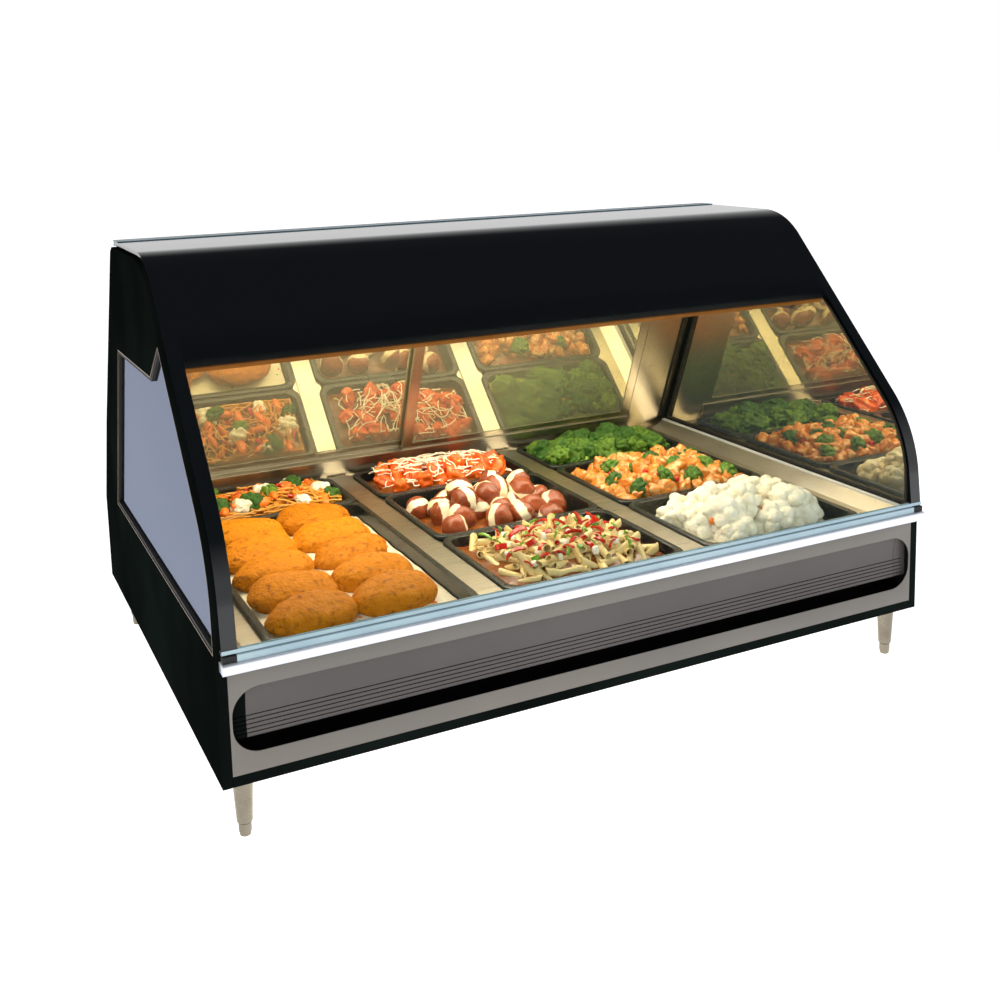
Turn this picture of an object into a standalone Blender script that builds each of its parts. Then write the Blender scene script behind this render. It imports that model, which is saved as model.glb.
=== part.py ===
"""Heated countertop display case for hot food.

It has a curved front glass that lifts, eight lift-out pans and two sliding doors at the back.

Metres, +Z up. The customer side faces -Y, the operator side +Y, and X runs along the case.
The origin is on the counter, under the middle of the case.
"""

import math

import bmesh
import bpy
from mathutils import Matrix, Vector

GAP = 0.0003  # clearance left between pieces that touch

# Case
CASE_WIDTH = 1.219
CASE_DEPTH = 0.909
END_PANEL = 0.014
PANEL_SKIN = 0.003  # left outside the pockets in the backs of the end panels
LEG_HEIGHT = 0.0902
BASE_TOP = 0.2492
SHEET = 0.0015
LOUVRE_SHEET = 0.0010
HALF = CASE_WIDTH / 2
INNER = HALF - END_PANEL - GAP
REAR = CASE_DEPTH / 2
FASCIA_Y = -0.4325
FASCIA_Z = (0.1053, 0.2535)
CABINET_FRONT_Y = -0.4197
BACK_WALL_Y = 0.4300
FLOOR_Z = LEG_HEIGHT + GAP

# Air intake: the opening in the fascia
INTAKE_HALF = 0.5915
INTAKE_Z = (0.133, 0.2245)
INTAKE_CORNER = 0.038

# Rail across the front, with a rounded nose, and the seat of the front glass on it
NOSE_Y = -0.4485
NOSE_R = 0.0060
NOSE_Z = (0.2555, 0.2700)
NOSE_HALF = 0.6050
RAIL_BACK_Y = -0.4335
SEAT_Y = (-0.4495, -0.4375)
SEAT_TOP = 0.2797

# Front glass, outer face: flat top, slope, near-vertical foot
GLASS = 0.005
GLASS_HALF = 0.6035
GLASS_CORNERS = ((0.1755, 0.7655), (-0.082, 0.7655), (-0.430, 0.412), (-0.4446, 0.2830))
TOP_BEND = 0.14
FOOT_BEND = 0.22
PANEL_INSET = 0.009  # from the outer face of the glass to the edge of the end panel
WINDOW_INSET = 0.019

# Hinge of the front glass
HINGE_Y = 0.1885
HINGE_Z = 0.7620
BEAD = 0.0029
SOCKET_IN = 0.0032
SOCKET_OUT = 0.0050
CLAMP_FRONT_Y = 0.1500
GROOVE_END_Y = 0.1758
GROOVE_Z = (0.7602, 0.7658)
TRIM_HEIGHT = 0.0030  # how far the trim on the lower edge comes up the glass

# Rear doors lean forward, and slide along X in two tracks
DOOR_LEAN = math.radians(22.5)
DOOR_FOOT = (0.3250, 0.2860)
DOOR_RISE = 0.310
DOOR_THICK = 0.008
TRACK_PITCH = 0.0135
DOOR_LAP = 0.092
POST_X = 0.4965
STILE = 0.020

# Food pans, nominal outside sizes of the rims
PAN_WIDTH = 0.325
PAN_PITCH = 0.3665
PAN_DEPTHS = {"full": 0.530, "half": 0.265, "third": 0.176}
PAN_FRONT_Y = -0.3905
PAN_TOP = 0.260
PAN_HEIGHT = 0.065
PAN_WALL = 0.0015
RIM = 0.0115
RIM_LIP = 0.0060
DECK_TOP = 0.2520
DECK_SHEET = 0.0025
DECK_Y = (-0.4305, 0.4530)
DECK_LEDGE = 0.009  # how far the deck reaches under the rims
LEDGE_Y = (-0.4280, 0.3160)  # divider bars and side ledges

# Heated well under the pans
WELL_Y = (-0.3845, 0.3350)
WELL_HALF = 0.5450
WELL_FLOOR_Z = 0.1600
WELL_FLANGE = 0.0195
THIN_SHEET = 0.0012
CABLE_R = 0.0030
CABLE_Z = 0.1535
CABLE_RUNS = 6
CABLE_REACH = 0.50
CABLE_PITCH = 0.110

# Hood and lamps
HOOD_INSET = 0.017  # from the outer face of the glass to the sloping front of the hood
HOOD_TOP_Z = 0.7480
HOOD_LOW_Z = 0.6200
HOOD_LIP_Z = 0.6040
REFLECTOR_HALF = 0.5600
LAMP_Y = {"lamp_front": -0.0250, "lamp_rear": 0.0550}
LAMP_Z = 0.6650
LAMP_R = 0.0080

# Controls in the back wall
CONTROL_Z = 0.170
KNOB_X = -0.080
INDICATOR_X = -0.150
POWER_X = -0.210
LIGHT_X = -0.270
ROCKER_Y = 0.4260
SPINDLE_BORE_R = 0.0036
GLAND = (0.450, 0.140)

# Legs and feet
LEG_X = 0.575
LEG_Y = (-0.3975, 0.4050)
LEG_TOP_R = 0.0140
LEG_LOW_R = 0.0110
LEG_FOOT_Z = 0.020
FOOT_STEM_R = 0.0050
FOOT_BORE_R = 0.0054

COLOURS = {
    "black_paint": ((0.012, 0.014, 0.013), 0.45, 0.0),
    "stainless": ((0.60, 0.58, 0.54), 0.30, 1.0),
    "grey_paint": ((0.24, 0.23, 0.21), 0.45, 0.2),
    "dark_grey": ((0.11, 0.10, 0.09), 0.40, 0.3),
    "aluminium": ((0.68, 0.71, 0.75), 0.25, 1.0),
    "teal_seal": ((0.30, 0.40, 0.45), 0.50, 0.1),
    "glass": ((0.55, 0.60, 0.66), 0.05, 0.0),
    "rubber": ((0.02, 0.02, 0.02), 0.70, 0.0),
    "pan_black": ((0.015, 0.016, 0.016), 0.35, 0.0),
    "mineral_wool": ((0.60, 0.55, 0.40), 0.90, 0.0),
    "heating_lead": ((0.55, 0.12, 0.08), 0.50, 0.0),
    "black_plastic": ((0.02, 0.02, 0.02), 0.40, 0.0),
    "lamp_glass": ((0.90, 0.85, 0.70), 0.10, 0.0),
    "red_lens": ((0.70, 0.04, 0.02), 0.20, 0.0),
}


def clear_scene():
    for scene_object in list(bpy.data.objects):
        bpy.data.objects.remove(scene_object, do_unlink=True)


def new_collection(name):
    collection = bpy.data.collections.new(name)
    bpy.context.scene.collection.children.link(collection)
    return collection


clear_scene()
CASE = new_collection("hot_food_display_case")
CUTTERS = new_collection("cutters")


def material_for(name, finish):
    colour, roughness, metallic = COLOURS[finish]
    material = bpy.data.materials.new(name)
    material.use_nodes = True
    shader = material.node_tree.nodes["Principled BSDF"]
    shader.inputs["Base Color"].default_value = (*colour, 1.0)
    shader.inputs["Roughness"].default_value = roughness
    shader.inputs["Metallic"].default_value = metallic
    if finish in ("glass", "lamp_glass"):
        shader.inputs["Alpha"].default_value = 0.35
    return material


def add_object(name, data, finish=None, location=(0, 0, 0), rotation=(0, 0, 0)):
    """Links an object to the case, or to the cutters where it has no finish."""
    new_object = bpy.data.objects.new(name, data)
    new_object.location = location
    new_object.rotation_euler = rotation
    if finish is None:
        CUTTERS.objects.link(new_object)
        new_object.hide_render = True
        new_object.display_type = "WIRE"
    else:
        CASE.objects.link(new_object)
        data.materials.clear()
        data.materials.append(material_for(name, finish))
    return new_object


def mesh_from(name, builder, outward=True):
    mesh = bpy.data.meshes.new(name)
    shape = bmesh.new()
    builder(shape)
    if outward:
        bmesh.ops.recalc_face_normals(shape, faces=shape.faces)
    shape.to_mesh(mesh)
    shape.free()
    return mesh


def box(name, low, high, finish=None):
    """A block between two corners, with its origin at its middle."""
    low, high = Vector(low), Vector(high)
    size = high - low

    def build(shape):
        bmesh.ops.create_cube(shape, size=1.0, matrix=Matrix.Diagonal((*size, 1)))

    return add_object(name, mesh_from(name, build), finish, (low + high) / 2)


def cylinder(name, centre, radius, length, axis, finish=None, sides=16):
    turn = Matrix.Rotation(math.pi / 2, 4, {"X": "Y", "Y": "X"}[axis])

    def build(shape):
        size = {"radius1": radius, "radius2": radius, "depth": length}
        bmesh.ops.create_cone(shape, cap_ends=True, segments=sides, matrix=turn, **size)

    return add_object(name, mesh_from(name, build), finish, centre)


def outline_curve(name, outlines):
    curve = bpy.data.curves.new(name, "CURVE")
    curve.dimensions = "2D"
    curve.fill_mode = "BOTH"
    for outline in outlines:
        spline = curve.splines.new("POLY")
        spline.points.add(len(outline) - 1)
        for point, (across, up) in zip(spline.points, outline):
            point.co = (across, up, 0, 1)
        spline.use_cyclic_u = True
    return curve


def extrusion(name, outlines, x_low, x_high, finish=None):
    """A closed outline in (y, z), and any holes in it, run along X."""
    curve = outline_curve(name, outlines)
    curve.extrude = (x_high - x_low) / 2
    middle = ((x_low + x_high) / 2, 0, 0)
    return add_object(name, curve, finish, middle, (math.pi / 2, 0, math.pi / 2))


def sheet(name, path, x_low, x_high, thickness, finish, side, closed_ends=False):
    """Bent sheet metal: an open path in (y, z) run along X, thickened to its left (1) or right (-1)."""

    def build(shape):
        row = [shape.verts.new((x_low, y, z)) for y, z in path]
        edges = [shape.edges.new(pair) for pair in zip(row, row[1:])]
        swept = bmesh.ops.extrude_edge_only(shape, edges=edges)["geom"]
        far = [item for item in swept if isinstance(item, bmesh.types.BMVert)]
        bmesh.ops.translate(shape, verts=far, vec=(x_high - x_low, 0, 0))
        if closed_ends:
            for x in (x_low, x_high):
                rim = [v for v in shape.verts if abs(v.co.x - x) < 1e-6]
                ends = [e for e in shape.edges if e.verts[0] in rim and e.verts[1] in rim]
                tips = [Vector(path[0]), Vector(path[-1])]
                lips = [v for v in rim if min((v.co.yz - tip).length for tip in tips) < 1e-6]
                ends.append(shape.edges.new(lips))
                bmesh.ops.contextual_create(shape, geom=ends)
        bmesh.ops.recalc_face_normals(shape, faces=shape.faces)
        left = Matrix.Rotation(math.pi / 2, 2) @ (Vector(path[1]) - Vector(path[0]))
        if edges[0].link_faces[0].normal.yz.dot(left) < 0:
            bmesh.ops.reverse_faces(shape, faces=shape.faces)

    bent = add_object(name, mesh_from(name, build, outward=False), finish)
    skin = bent.modifiers.new("thickness", "SOLIDIFY")
    skin.thickness = thickness
    skin.offset = side
    skin.use_even_offset = True
    return bent


def turned(name, profile, centre, axis, finish=None, steps=16):
    """A profile of (radius, height) run down its outer side, spun about its axis."""
    mesh = bpy.data.meshes.new(name)
    shape = bmesh.new()
    points = [shape.verts.new((radius, 0, height)) for radius, height in profile]
    for pair in zip(points, points[1:]):
        shape.edges.new(pair)
    if profile[0][0] > 0:
        shape.edges.new((points[-1], points[0]))
    shape.to_mesh(mesh)
    shape.free()
    tilt = {"Z": (0, 0, 0), "Y": (-math.pi / 2, 0, 0)}
    spun = add_object(name, mesh, finish, centre, tilt[axis])
    screw = spun.modifiers.new("turn", "SCREW")
    screw.steps = screw.render_steps = steps
    screw.use_merge_vertices = True
    screw.merge_threshold = 0.0001
    return spun


def as_mesh(curve_object):
    """Makes a curve object a mesh object with welded caps, so that it can be cut."""
    bpy.context.view_layer.update()
    evaluated = curve_object.evaluated_get(bpy.context.evaluated_depsgraph_get())
    mesh = bpy.data.meshes.new_from_object(evaluated)
    shape = bmesh.new()
    shape.from_mesh(mesh)
    bmesh.ops.remove_doubles(shape, verts=shape.verts, dist=0.00001)
    bmesh.ops.recalc_face_normals(shape, faces=shape.faces)
    shape.to_mesh(mesh)
    shape.free()
    name, place = curve_object.name, curve_object.matrix_world.copy()
    bpy.data.objects.remove(curve_object, do_unlink=True)
    solid = bpy.data.objects.new(name, mesh)
    solid.matrix_world = place
    CASE.objects.link(solid)
    return solid


def cut(target, *tools):
    for tool in tools:
        boolean = target.modifiers.new(tool.name, "BOOLEAN")
        boolean.operation = "DIFFERENCE"
        boolean.solver = "EXACT"
        boolean.object = tool


def axis_empty(name, location, rotation=(0, 0, 0)):
    empty = bpy.data.objects.new(name, None)
    empty.location = location
    empty.rotation_euler = rotation
    CASE.objects.link(empty)
    return empty


def hang_on(empty, *pieces):
    """Parents pieces to an empty on their joint's axis and leaves them where they are."""
    bpy.context.view_layer.update()
    for piece in pieces:
        piece.parent = empty
        piece.matrix_parent_inverse = empty.matrix_world.inverted()


def arc(centre, radius, start, stop, steps):
    """Points on a circle in (y, z), with angles in degrees from +Y towards +Z."""
    turn = [math.radians(start + (stop - start) * i / steps) for i in range(steps + 1)]
    return [(centre[0] + radius * math.cos(a), centre[1] + radius * math.sin(a)) for a in turn]


def rounded(before, corner, after, radius, steps):
    """The arc of a fillet at one corner of a path."""
    before, corner, after = Vector(before), Vector(corner), Vector(after)
    back, ahead = (before - corner).normalized(), (after - corner).normalized()
    half = back.angle(ahead) / 2
    centre = corner + (back + ahead).normalized() * (radius / math.sin(half))
    start = corner + back * (radius / math.tan(half)) - centre
    stop = corner + ahead * (radius / math.tan(half)) - centre
    sweep = start.angle_signed(stop)
    return [tuple(centre + Matrix.Rotation(-sweep * i / steps, 2) @ start) for i in range(steps + 1)]


def rounded_outline(corners, radius, steps):
    """A closed outline with every corner rounded to one radius."""
    points = []
    for i, corner in enumerate(corners):
        points += rounded(corners[i - 1], corner, corners[(i + 1) % len(corners)], radius, steps)
    return points


def inset_path(points, distance, closed):
    """Moves a path sideways, to its left in the direction it runs, and keeps its corners sharp."""
    count = len(points)
    moved = []
    for i, point in enumerate(points):
        here = Vector(point)
        into = here - Vector(points[i - 1]) if closed or i > 0 else None
        out = Vector(points[(i + 1) % count]) - here if closed or i < count - 1 else None
        sides = [Vector((-d.y, d.x)).normalized() for d in (into, out) if d is not None]
        side = sides[0] if len(sides) == 1 else (sides[0] + sides[1]) / (1 + sides[0].dot(sides[1]))
        moved.append(tuple(here + side * distance))
    return moved


def glass_path(inset, steps=6):
    """The front glass's profile from its rear edge to its foot, moved inwards by inset."""
    corners = inset_path(GLASS_CORNERS, inset, closed=False)
    path = [corners[0]]
    path += rounded(corners[0], corners[1], corners[2], TOP_BEND - inset, steps)
    path += rounded(corners[1], corners[2], corners[3], FOOT_BEND - inset, steps)
    return path + [corners[3]]


def foot_point(inset, along):
    """A point beside the foot of the front glass: inset inwards, along upwards."""
    foot, above = Vector(GLASS_CORNERS[3]), Vector(GLASS_CORNERS[2])
    rise = (above - foot).normalized()
    return tuple(foot + rise * along + Vector((rise.y, -rise.x)) * inset)


def door_point(across, up):
    """A point in (y, z) from the doors' foot: across outwards, up along the lean."""
    lean = Matrix.Rotation(DOOR_LEAN, 2)
    return tuple(Vector(DOOR_FOOT) + lean @ Vector((across, up)))


def crossing(point, direction, low, high):
    """Where a line meets the segment from low to high."""
    point, direction, low, high = Vector(point), Vector(direction), Vector(low), Vector(high)
    span = high - low
    share = direction.cross(point - low) / direction.cross(span)
    return tuple(low + span * share)


# Base: an open tray on four legs, closed by a fascia, a louvre and a deck


def make_base():
    low, high = (-INNER, CABINET_FRONT_Y, FLOOR_Z), (INNER, BACK_WALL_Y, BASE_TOP - GAP)
    shell = box("base_cabinet", low, high, "stainless")
    inside = INNER - SHEET
    cut(shell, box("cabinet_hollow", (-inside, -0.5, FLOOR_Z + SHEET), (inside, BACK_WALL_Y - SHEET, 0.3)))
    strip_front, strip_back, strip_top = FASCIA_Y + GAP, CABINET_FRONT_Y - GAP, FASCIA_Z[0] - GAP
    box("kick_strip", (-INNER, strip_front, FLOOR_Z), (INNER, strip_back, strip_top), "black_paint")
    return shell


def make_fascia():
    def rectangle(half, z_low, z_high):
        return [(-half, z_low), (half, z_low), (half, z_high), (-half, z_high)]

    opening = rounded_outline(rectangle(INTAKE_HALF, *INTAKE_Z), INTAKE_CORNER, 5)
    curve = outline_curve("front_fascia", [rectangle(INNER, *FASCIA_Z), opening])
    curve.extrude = SHEET / 2
    add_object("front_fascia", curve, "grey_paint", (0, FASCIA_Y + SHEET / 2, 0), (math.pi / 2, 0, 0))


def make_louvre():
    mouth = FASCIA_Y + SHEET + GAP + LOUVRE_SHEET
    reach = INNER - SHEET - GAP - LOUVRE_SHEET
    path = [(mouth, 0.2300)]
    path += [(-0.4255, 0.2275), (-0.4205, 0.2150), (-0.4180, 0.1980), (-0.4190, 0.1820)]
    path += arc((-0.4095, 0.1640), 0.0120, 165, 260, 5)
    path += [(-0.4000, 0.1500), (-0.4000, 0.1290), (mouth, 0.1290)]
    sheet("louvre_insert", path, -reach, reach, LOUVRE_SHEET, "dark_grey", 1, closed_ends=True)


def make_front_rails():
    low, high = NOSE_Z
    nose = arc((NOSE_Y, (low + high) / 2), NOSE_R, 110, 250, 5)
    outline = [(RAIL_BACK_Y, low), (RAIL_BACK_Y, high), (NOSE_Y, high)] + nose + [(NOSE_Y, low)]
    extrusion("bullnose_rail", [outline], -NOSE_HALF, NOSE_HALF, "aluminium")
    box("glass_seat", (-GLASS_HALF, SEAT_Y[0], high + GAP), (GLASS_HALF, SEAT_Y[1], SEAT_TOP), "teal_seal")


def make_deck():
    deck = box("deck", (-INNER, DECK_Y[0], DECK_TOP - DECK_SHEET), (INNER, DECK_Y[1], DECK_TOP), "stainless")
    y_low = PAN_FRONT_Y + DECK_LEDGE
    y_high = PAN_FRONT_Y + PAN_DEPTHS["full"] + PAN_DEPTHS["third"] - DECK_LEDGE
    for i in (-1, 0, 1):
        centre, half = i * PAN_PITCH, PAN_WIDTH / 2 - DECK_LEDGE
        cut(deck, box(f"well_opening_{i + 1}", (centre - half, y_low, 0.2), (centre + half, y_high, 0.3)))
    for side, name in ((-1, "left"), (1, "right")):
        middle, half = side * PAN_PITCH / 2, (PAN_PITCH - PAN_WIDTH) / 2 - 0.0010
        low = (middle - half, LEDGE_Y[0], DECK_TOP + GAP)
        high = (middle + half, LEDGE_Y[1], DECK_TOP + 0.0040)
        box(f"divider_bar_{name}", low, high, "stainless")
        make_side_ledge(side, name)


def make_side_ledge(side, name):
    """A folded skirt that slopes up from the deck to a narrow ledge under the side window."""
    foot, top = DECK_TOP + GAP, 0.2700
    section = [(0.5580, foot), (INNER, foot), (INNER, top), (0.5880, top), (0.5850, top - 0.0020)]
    curve = outline_curve(f"side_ledge_{name}", [[(side * x, z) for x, z in section]])
    curve.extrude = (LEDGE_Y[1] - LEDGE_Y[0]) / 2
    add_object(f"side_ledge_{name}", curve, "stainless", (0, sum(LEDGE_Y) / 2, 0), (math.pi / 2, 0, 0))


def make_well():
    top, (front, back) = DECK_TOP - DECK_SHEET - GAP, WELL_Y
    path = [(front - WELL_FLANGE, top), (front, top), (front, WELL_FLOOR_Z), (back, WELL_FLOOR_Z)]
    path += [(back, top), (back + WELL_FLANGE, top)]
    sheet("well_liner", path, -WELL_HALF, WELL_HALF, THIN_SHEET, "stainless", -1)
    box("well_insulation", (-0.5500, -0.3750, 0.1200), (0.5500, 0.3600, 0.1480), "mineral_wool")


def cable_route():
    """A zigzag in (x, y) with a half-round bend at the end of each run."""
    route = []
    for run in range(CABLE_RUNS):
        y = (run - (CABLE_RUNS - 1) / 2) * CABLE_PITCH
        way = 1 if run % 2 == 0 else -1
        route.append((-way * CABLE_REACH, y))
        if run < CABLE_RUNS - 1:
            middle = (y + CABLE_PITCH / 2, way * CABLE_REACH)
            bend = arc(middle, CABLE_PITCH / 2, -90, 90, 6)
            squash = 0.6  # the bends are flatter than half circles
            for across, up in bend:
                route.append((middle[1] + way * squash * (across - middle[0]), middle[0] + up - middle[1]))
        else:
            route.append((way * CABLE_REACH, y))
    return route


def make_heating_cable():
    curve = bpy.data.curves.new("heating_cable", "CURVE")
    curve.dimensions = "3D"
    curve.bevel_depth = CABLE_R
    curve.bevel_resolution = 1
    curve.use_fill_caps = True
    route = cable_route()
    spline = curve.splines.new("POLY")
    spline.points.add(len(route) - 1)
    for point, (x, y) in zip(spline.points, route):
        point.co = (x, y, CABLE_Z, 1)
    add_object("heating_cable", curve, "heating_lead")


def make_legs():
    for side, side_name in ((-1, "left"), (1, "right")):
        for y, end_name in zip(LEG_Y, ("front", "rear")):
            place = (side * LEG_X, y, 0)
            leg_profile = [
                (0, 0.0600),
                (FOOT_BORE_R, 0.0600),
                (FOOT_BORE_R, LEG_FOOT_Z),
                (LEG_LOW_R - 0.0010, LEG_FOOT_Z),
                (LEG_LOW_R, LEG_FOOT_Z + 0.0010),
                (LEG_TOP_R, 0.0780),
                (LEG_TOP_R, LEG_HEIGHT),
                (0, LEG_HEIGHT),
            ]
            turned(f"leg_{end_name}_{side_name}", leg_profile[::-1], place, "Z", "stainless")
            foot_profile = [
                (0, 0.0500),
                (FOOT_STEM_R, 0.0500),
                (FOOT_STEM_R, 0.0190),
                (0.0085, 0.0190),
                (0.0090, 0.0180),
                (0.0090, 0.0070),
                (0.0075, 0.0000),
                (0, 0.0000),
            ]
            turned(f"foot_{end_name}_{side_name}", foot_profile, place, "Z", "stainless", steps=12)


# Ends: black panels with a glazed window


def panel_outline():
    front = glass_path(PANEL_INSET)
    path = [(REAR, FLOOR_Z), (REAR, 0.2500), (0.3795, 0.4130), (0.1915, 0.7480), (0.1755, front[0][1])]
    path += front[1:-1]
    foot = front[-1]
    path += [(foot[0] - 0.0010, 0.2708), (FASCIA_Y, 0.2708), (FASCIA_Y, FLOOR_Z)]
    return path


def window_outline():
    """Runs round the window with its inside on the left."""
    front = glass_path(WINDOW_INSET)
    hood_corner = (-0.1025, 0.585)
    slope_top, slope_low = front[7], front[8]
    peak = crossing(hood_corner, (-0.085, 0.065), slope_top, slope_low)
    sill = 0.272
    below = [point for point in front[8:] if point[1] > sill + 0.02]
    outline = [(0.3145, sill), (0.1845, 0.580), hood_corner, peak]
    return outline + below + [(below[-1][0] - 0.0015, sill)]


def make_ends():
    panel, window = panel_outline(), window_outline()
    for side, name in ((-1, "left"), (1, "right")):
        inner, outer = sorted((side * (INNER + GAP), side * HALF))
        end_panel = as_mesh(extrusion(f"end_panel_{name}", [panel, window], inner, outer, "black_paint"))
        low, high = sorted((side * (INNER - 0.01), side * (HALF - PANEL_SKIN)))
        base_pocket = box(f"base_pocket_{name}", (low, -0.4200, 0.1010), (high, 0.4200, 0.2440))
        hood_pocket = box(f"hood_pocket_{name}", (low, -0.0900, 0.6150), (high, 0.1500, 0.7400))
        cut(end_panel, base_pocket, hood_pocket)
        ring = [inset_path(window, GAP, True), inset_path(window, 0.0070, True)]
        low, high = sorted((side * 0.5965, side * 0.6085))
        extrusion(f"window_gasket_{name}", ring, low, high, "rubber")
        low, high = sorted((side * 0.5995, side * 0.6035))
        extrusion(f"side_glass_{name}", [inset_path(window, 0.0073, True)], low, high, "glass")


# Front glass on its continuous hinge


def make_front_glass():
    outer, inner = glass_path(0), glass_path(GLASS)
    glass = extrusion("front_glass", [outer + inner[::-1]], -GLASS_HALF, GLASS_HALF, "glass")
    hinge = (HINGE_Y, HINGE_Z)
    clamp = [(CLAMP_FRONT_Y, 0.7670), (HINGE_Y, HINGE_Z + SOCKET_OUT)]
    clamp += arc(hinge, SOCKET_OUT, 75, 60, 1)
    clamp += arc(hinge, SOCKET_IN, 60, 272, 12)
    clamp += arc(hinge, SOCKET_OUT, 272, 225, 3)
    low, high = GROOVE_Z
    clamp += [(CLAMP_FRONT_Y, 0.7585), (CLAMP_FRONT_Y, low), (GROOVE_END_Y, low)]
    clamp += [(GROOVE_END_Y, high), (CLAMP_FRONT_Y, high)]
    clamp_rail = extrusion("glass_clamp_rail", [clamp], -GLASS_HALF, GLASS_HALF, "aluminium")
    front, back, sole, up = -0.0015, 0.0068, -0.0020, TRIM_HEIGHT
    trim = [(front, sole), (front, up), (-GAP, up), (-GAP, -GAP)]
    trim += [(GLASS + GAP, -GAP), (GLASS + GAP, up), (back, up), (back, sole)]
    trim = [foot_point(*point) for point in trim]
    edge_trim = extrusion("glass_edge_trim", [trim], -GLASS_HALF, GLASS_HALF, "teal_seal")
    hang_on(axis_empty("front_glass_hinge", (0, HINGE_Y, HINGE_Z)), glass, clamp_rail, edge_trim)


def make_top_rail():
    """A square rail with a round bead on a neck, which the clamp rail's socket turns about."""
    neck, half_mouth = 300, 22
    bead = arc((HINGE_Y, HINGE_Z), BEAD, neck + half_mouth - 360, neck - half_mouth, 14)
    front, back, low, high = 0.1865, 0.1985, 0.7370, 0.7540
    body = [(0.1916, high), (front, high), (front, low), (back, low), (back, high), (0.1940, high)]
    extrusion("top_rail", [bead + body], -INNER, INNER, "aluminium")


# Hood with its lamps


def make_hood():
    slope = inset_path([GLASS_CORNERS[1], GLASS_CORNERS[2]], HOOD_INSET, closed=False)
    peak = crossing((0, HOOD_TOP_Z), (-1, 0), *slope)
    low = crossing((0, HOOD_LOW_Z), (-1, 0), *slope)
    path = [(0.2600, 0.5950), (0.1855, 0.7320), (0.1700, HOOD_TOP_Z), peak, low]
    path += [(low[0] + 0.0080, HOOD_LIP_Z), (low[0] + 0.0200, HOOD_LIP_Z)]
    sheet("hood_shell", path, -INNER, INNER, SHEET, "black_paint", 1)
    dome = [(0.1250, 0.6350), (0.0850, 0.6950), (-0.0550, 0.6950), (-0.0950, 0.6350)]
    reach = REFLECTOR_HALF
    sheet("lamp_reflector", dome, -reach, reach, THIN_SHEET, "stainless", -1, closed_ends=True)
    for name, y in LAMP_Y.items():
        cylinder(name, (0, y, LAMP_Z), LAMP_R, 2 * (reach - 0.0020), "X", "lamp_glass", sides=12)


# Rear: leaning posts, tracks and two sliding doors


def make_tracks():
    half, wall = DOOR_THICK / 2, 0.0025
    rib = [(-half - 0.0005, half + 0.0005), (TRACK_PITCH - half - 0.0005, TRACK_PITCH + half + 0.0005)]
    rim = (rib[0][0] - wall, rib[1][1] + wall)

    def comb(base, floor, tip):
        """A track's outline: its far face at base, its grooves' floor at floor, its ribs' tips at tip."""
        points = [(rim[0], base), (rim[0], tip)]
        for near, far in rib:
            points += [(near, tip), (near, floor), (far, floor), (far, tip)]
        return [door_point(*p) for p in points + [(rim[1], tip), (rim[1], base)]]

    lower = comb(-0.0090, -0.0008, 0.0060)
    foot = DECK_TOP + GAP
    sill = [(lower[0][0] + 0.0010, foot)] + lower[1:-1] + [(lower[-1][0] + 0.0010, foot)]
    extrusion("rear_sill", [sill], -POST_X + GAP, POST_X - GAP, "stainless")
    upper = comb(DOOR_RISE + 0.0160, DOOR_RISE + 0.0070, DOOR_RISE - 0.0060)
    extrusion("upper_track", [upper], -INNER, INNER, "stainless")
    post_front, post_back, post_top = -0.0050, 0.0330, DOOR_RISE - 0.0075
    outline = []
    for across in (post_front, post_back):
        y, z = door_point(across, 0)
        outline.append((y + (z - foot) * math.tan(DOOR_LEAN), foot))
    outline += [door_point(post_back, post_top), door_point(post_front, post_top)]
    for side, name in ((-1, "left"), (1, "right")):
        low, high = sorted((side * POST_X, side * INNER))
        extrusion(f"rear_post_{name}", [outline], low, high, "stainless")


def make_doors():
    door_width = POST_X + DOOR_LAP / 2 - 2 * GAP
    for side, name, track in ((-1, "left", 1), (1, "right", 0)):
        centre_x = side * (POST_X - GAP - door_width / 2)
        centre_y, centre_z = door_point(track * TRACK_PITCH, DOOR_RISE / 2)
        middle = (centre_x, centre_y, centre_z)
        tilt = (math.pi / 2 + DOOR_LEAN, 0, 0)

        def rectangle(inset):
            x, z = door_width / 2 - inset, DOOR_RISE / 2 - inset
            return [(-x, -z), (x, -z), (x, z), (-x, z)]

        frame = outline_curve(f"door_{name}_frame", [rectangle(0), rectangle(STILE)])
        frame.extrude = DOOR_THICK / 2
        pane = outline_curve(f"door_{name}_glass", [rectangle(STILE + GAP)])
        pane.extrude = 0.0025
        pieces = [
            add_object(f"door_{name}_frame", frame, "stainless", middle, tilt),
            add_object(f"door_{name}_glass", pane, "glass", middle, tilt),
        ]
        hang_on(axis_empty(f"door_{name}_track", middle), *pieces)


# Controls in the recess of the back wall


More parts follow.
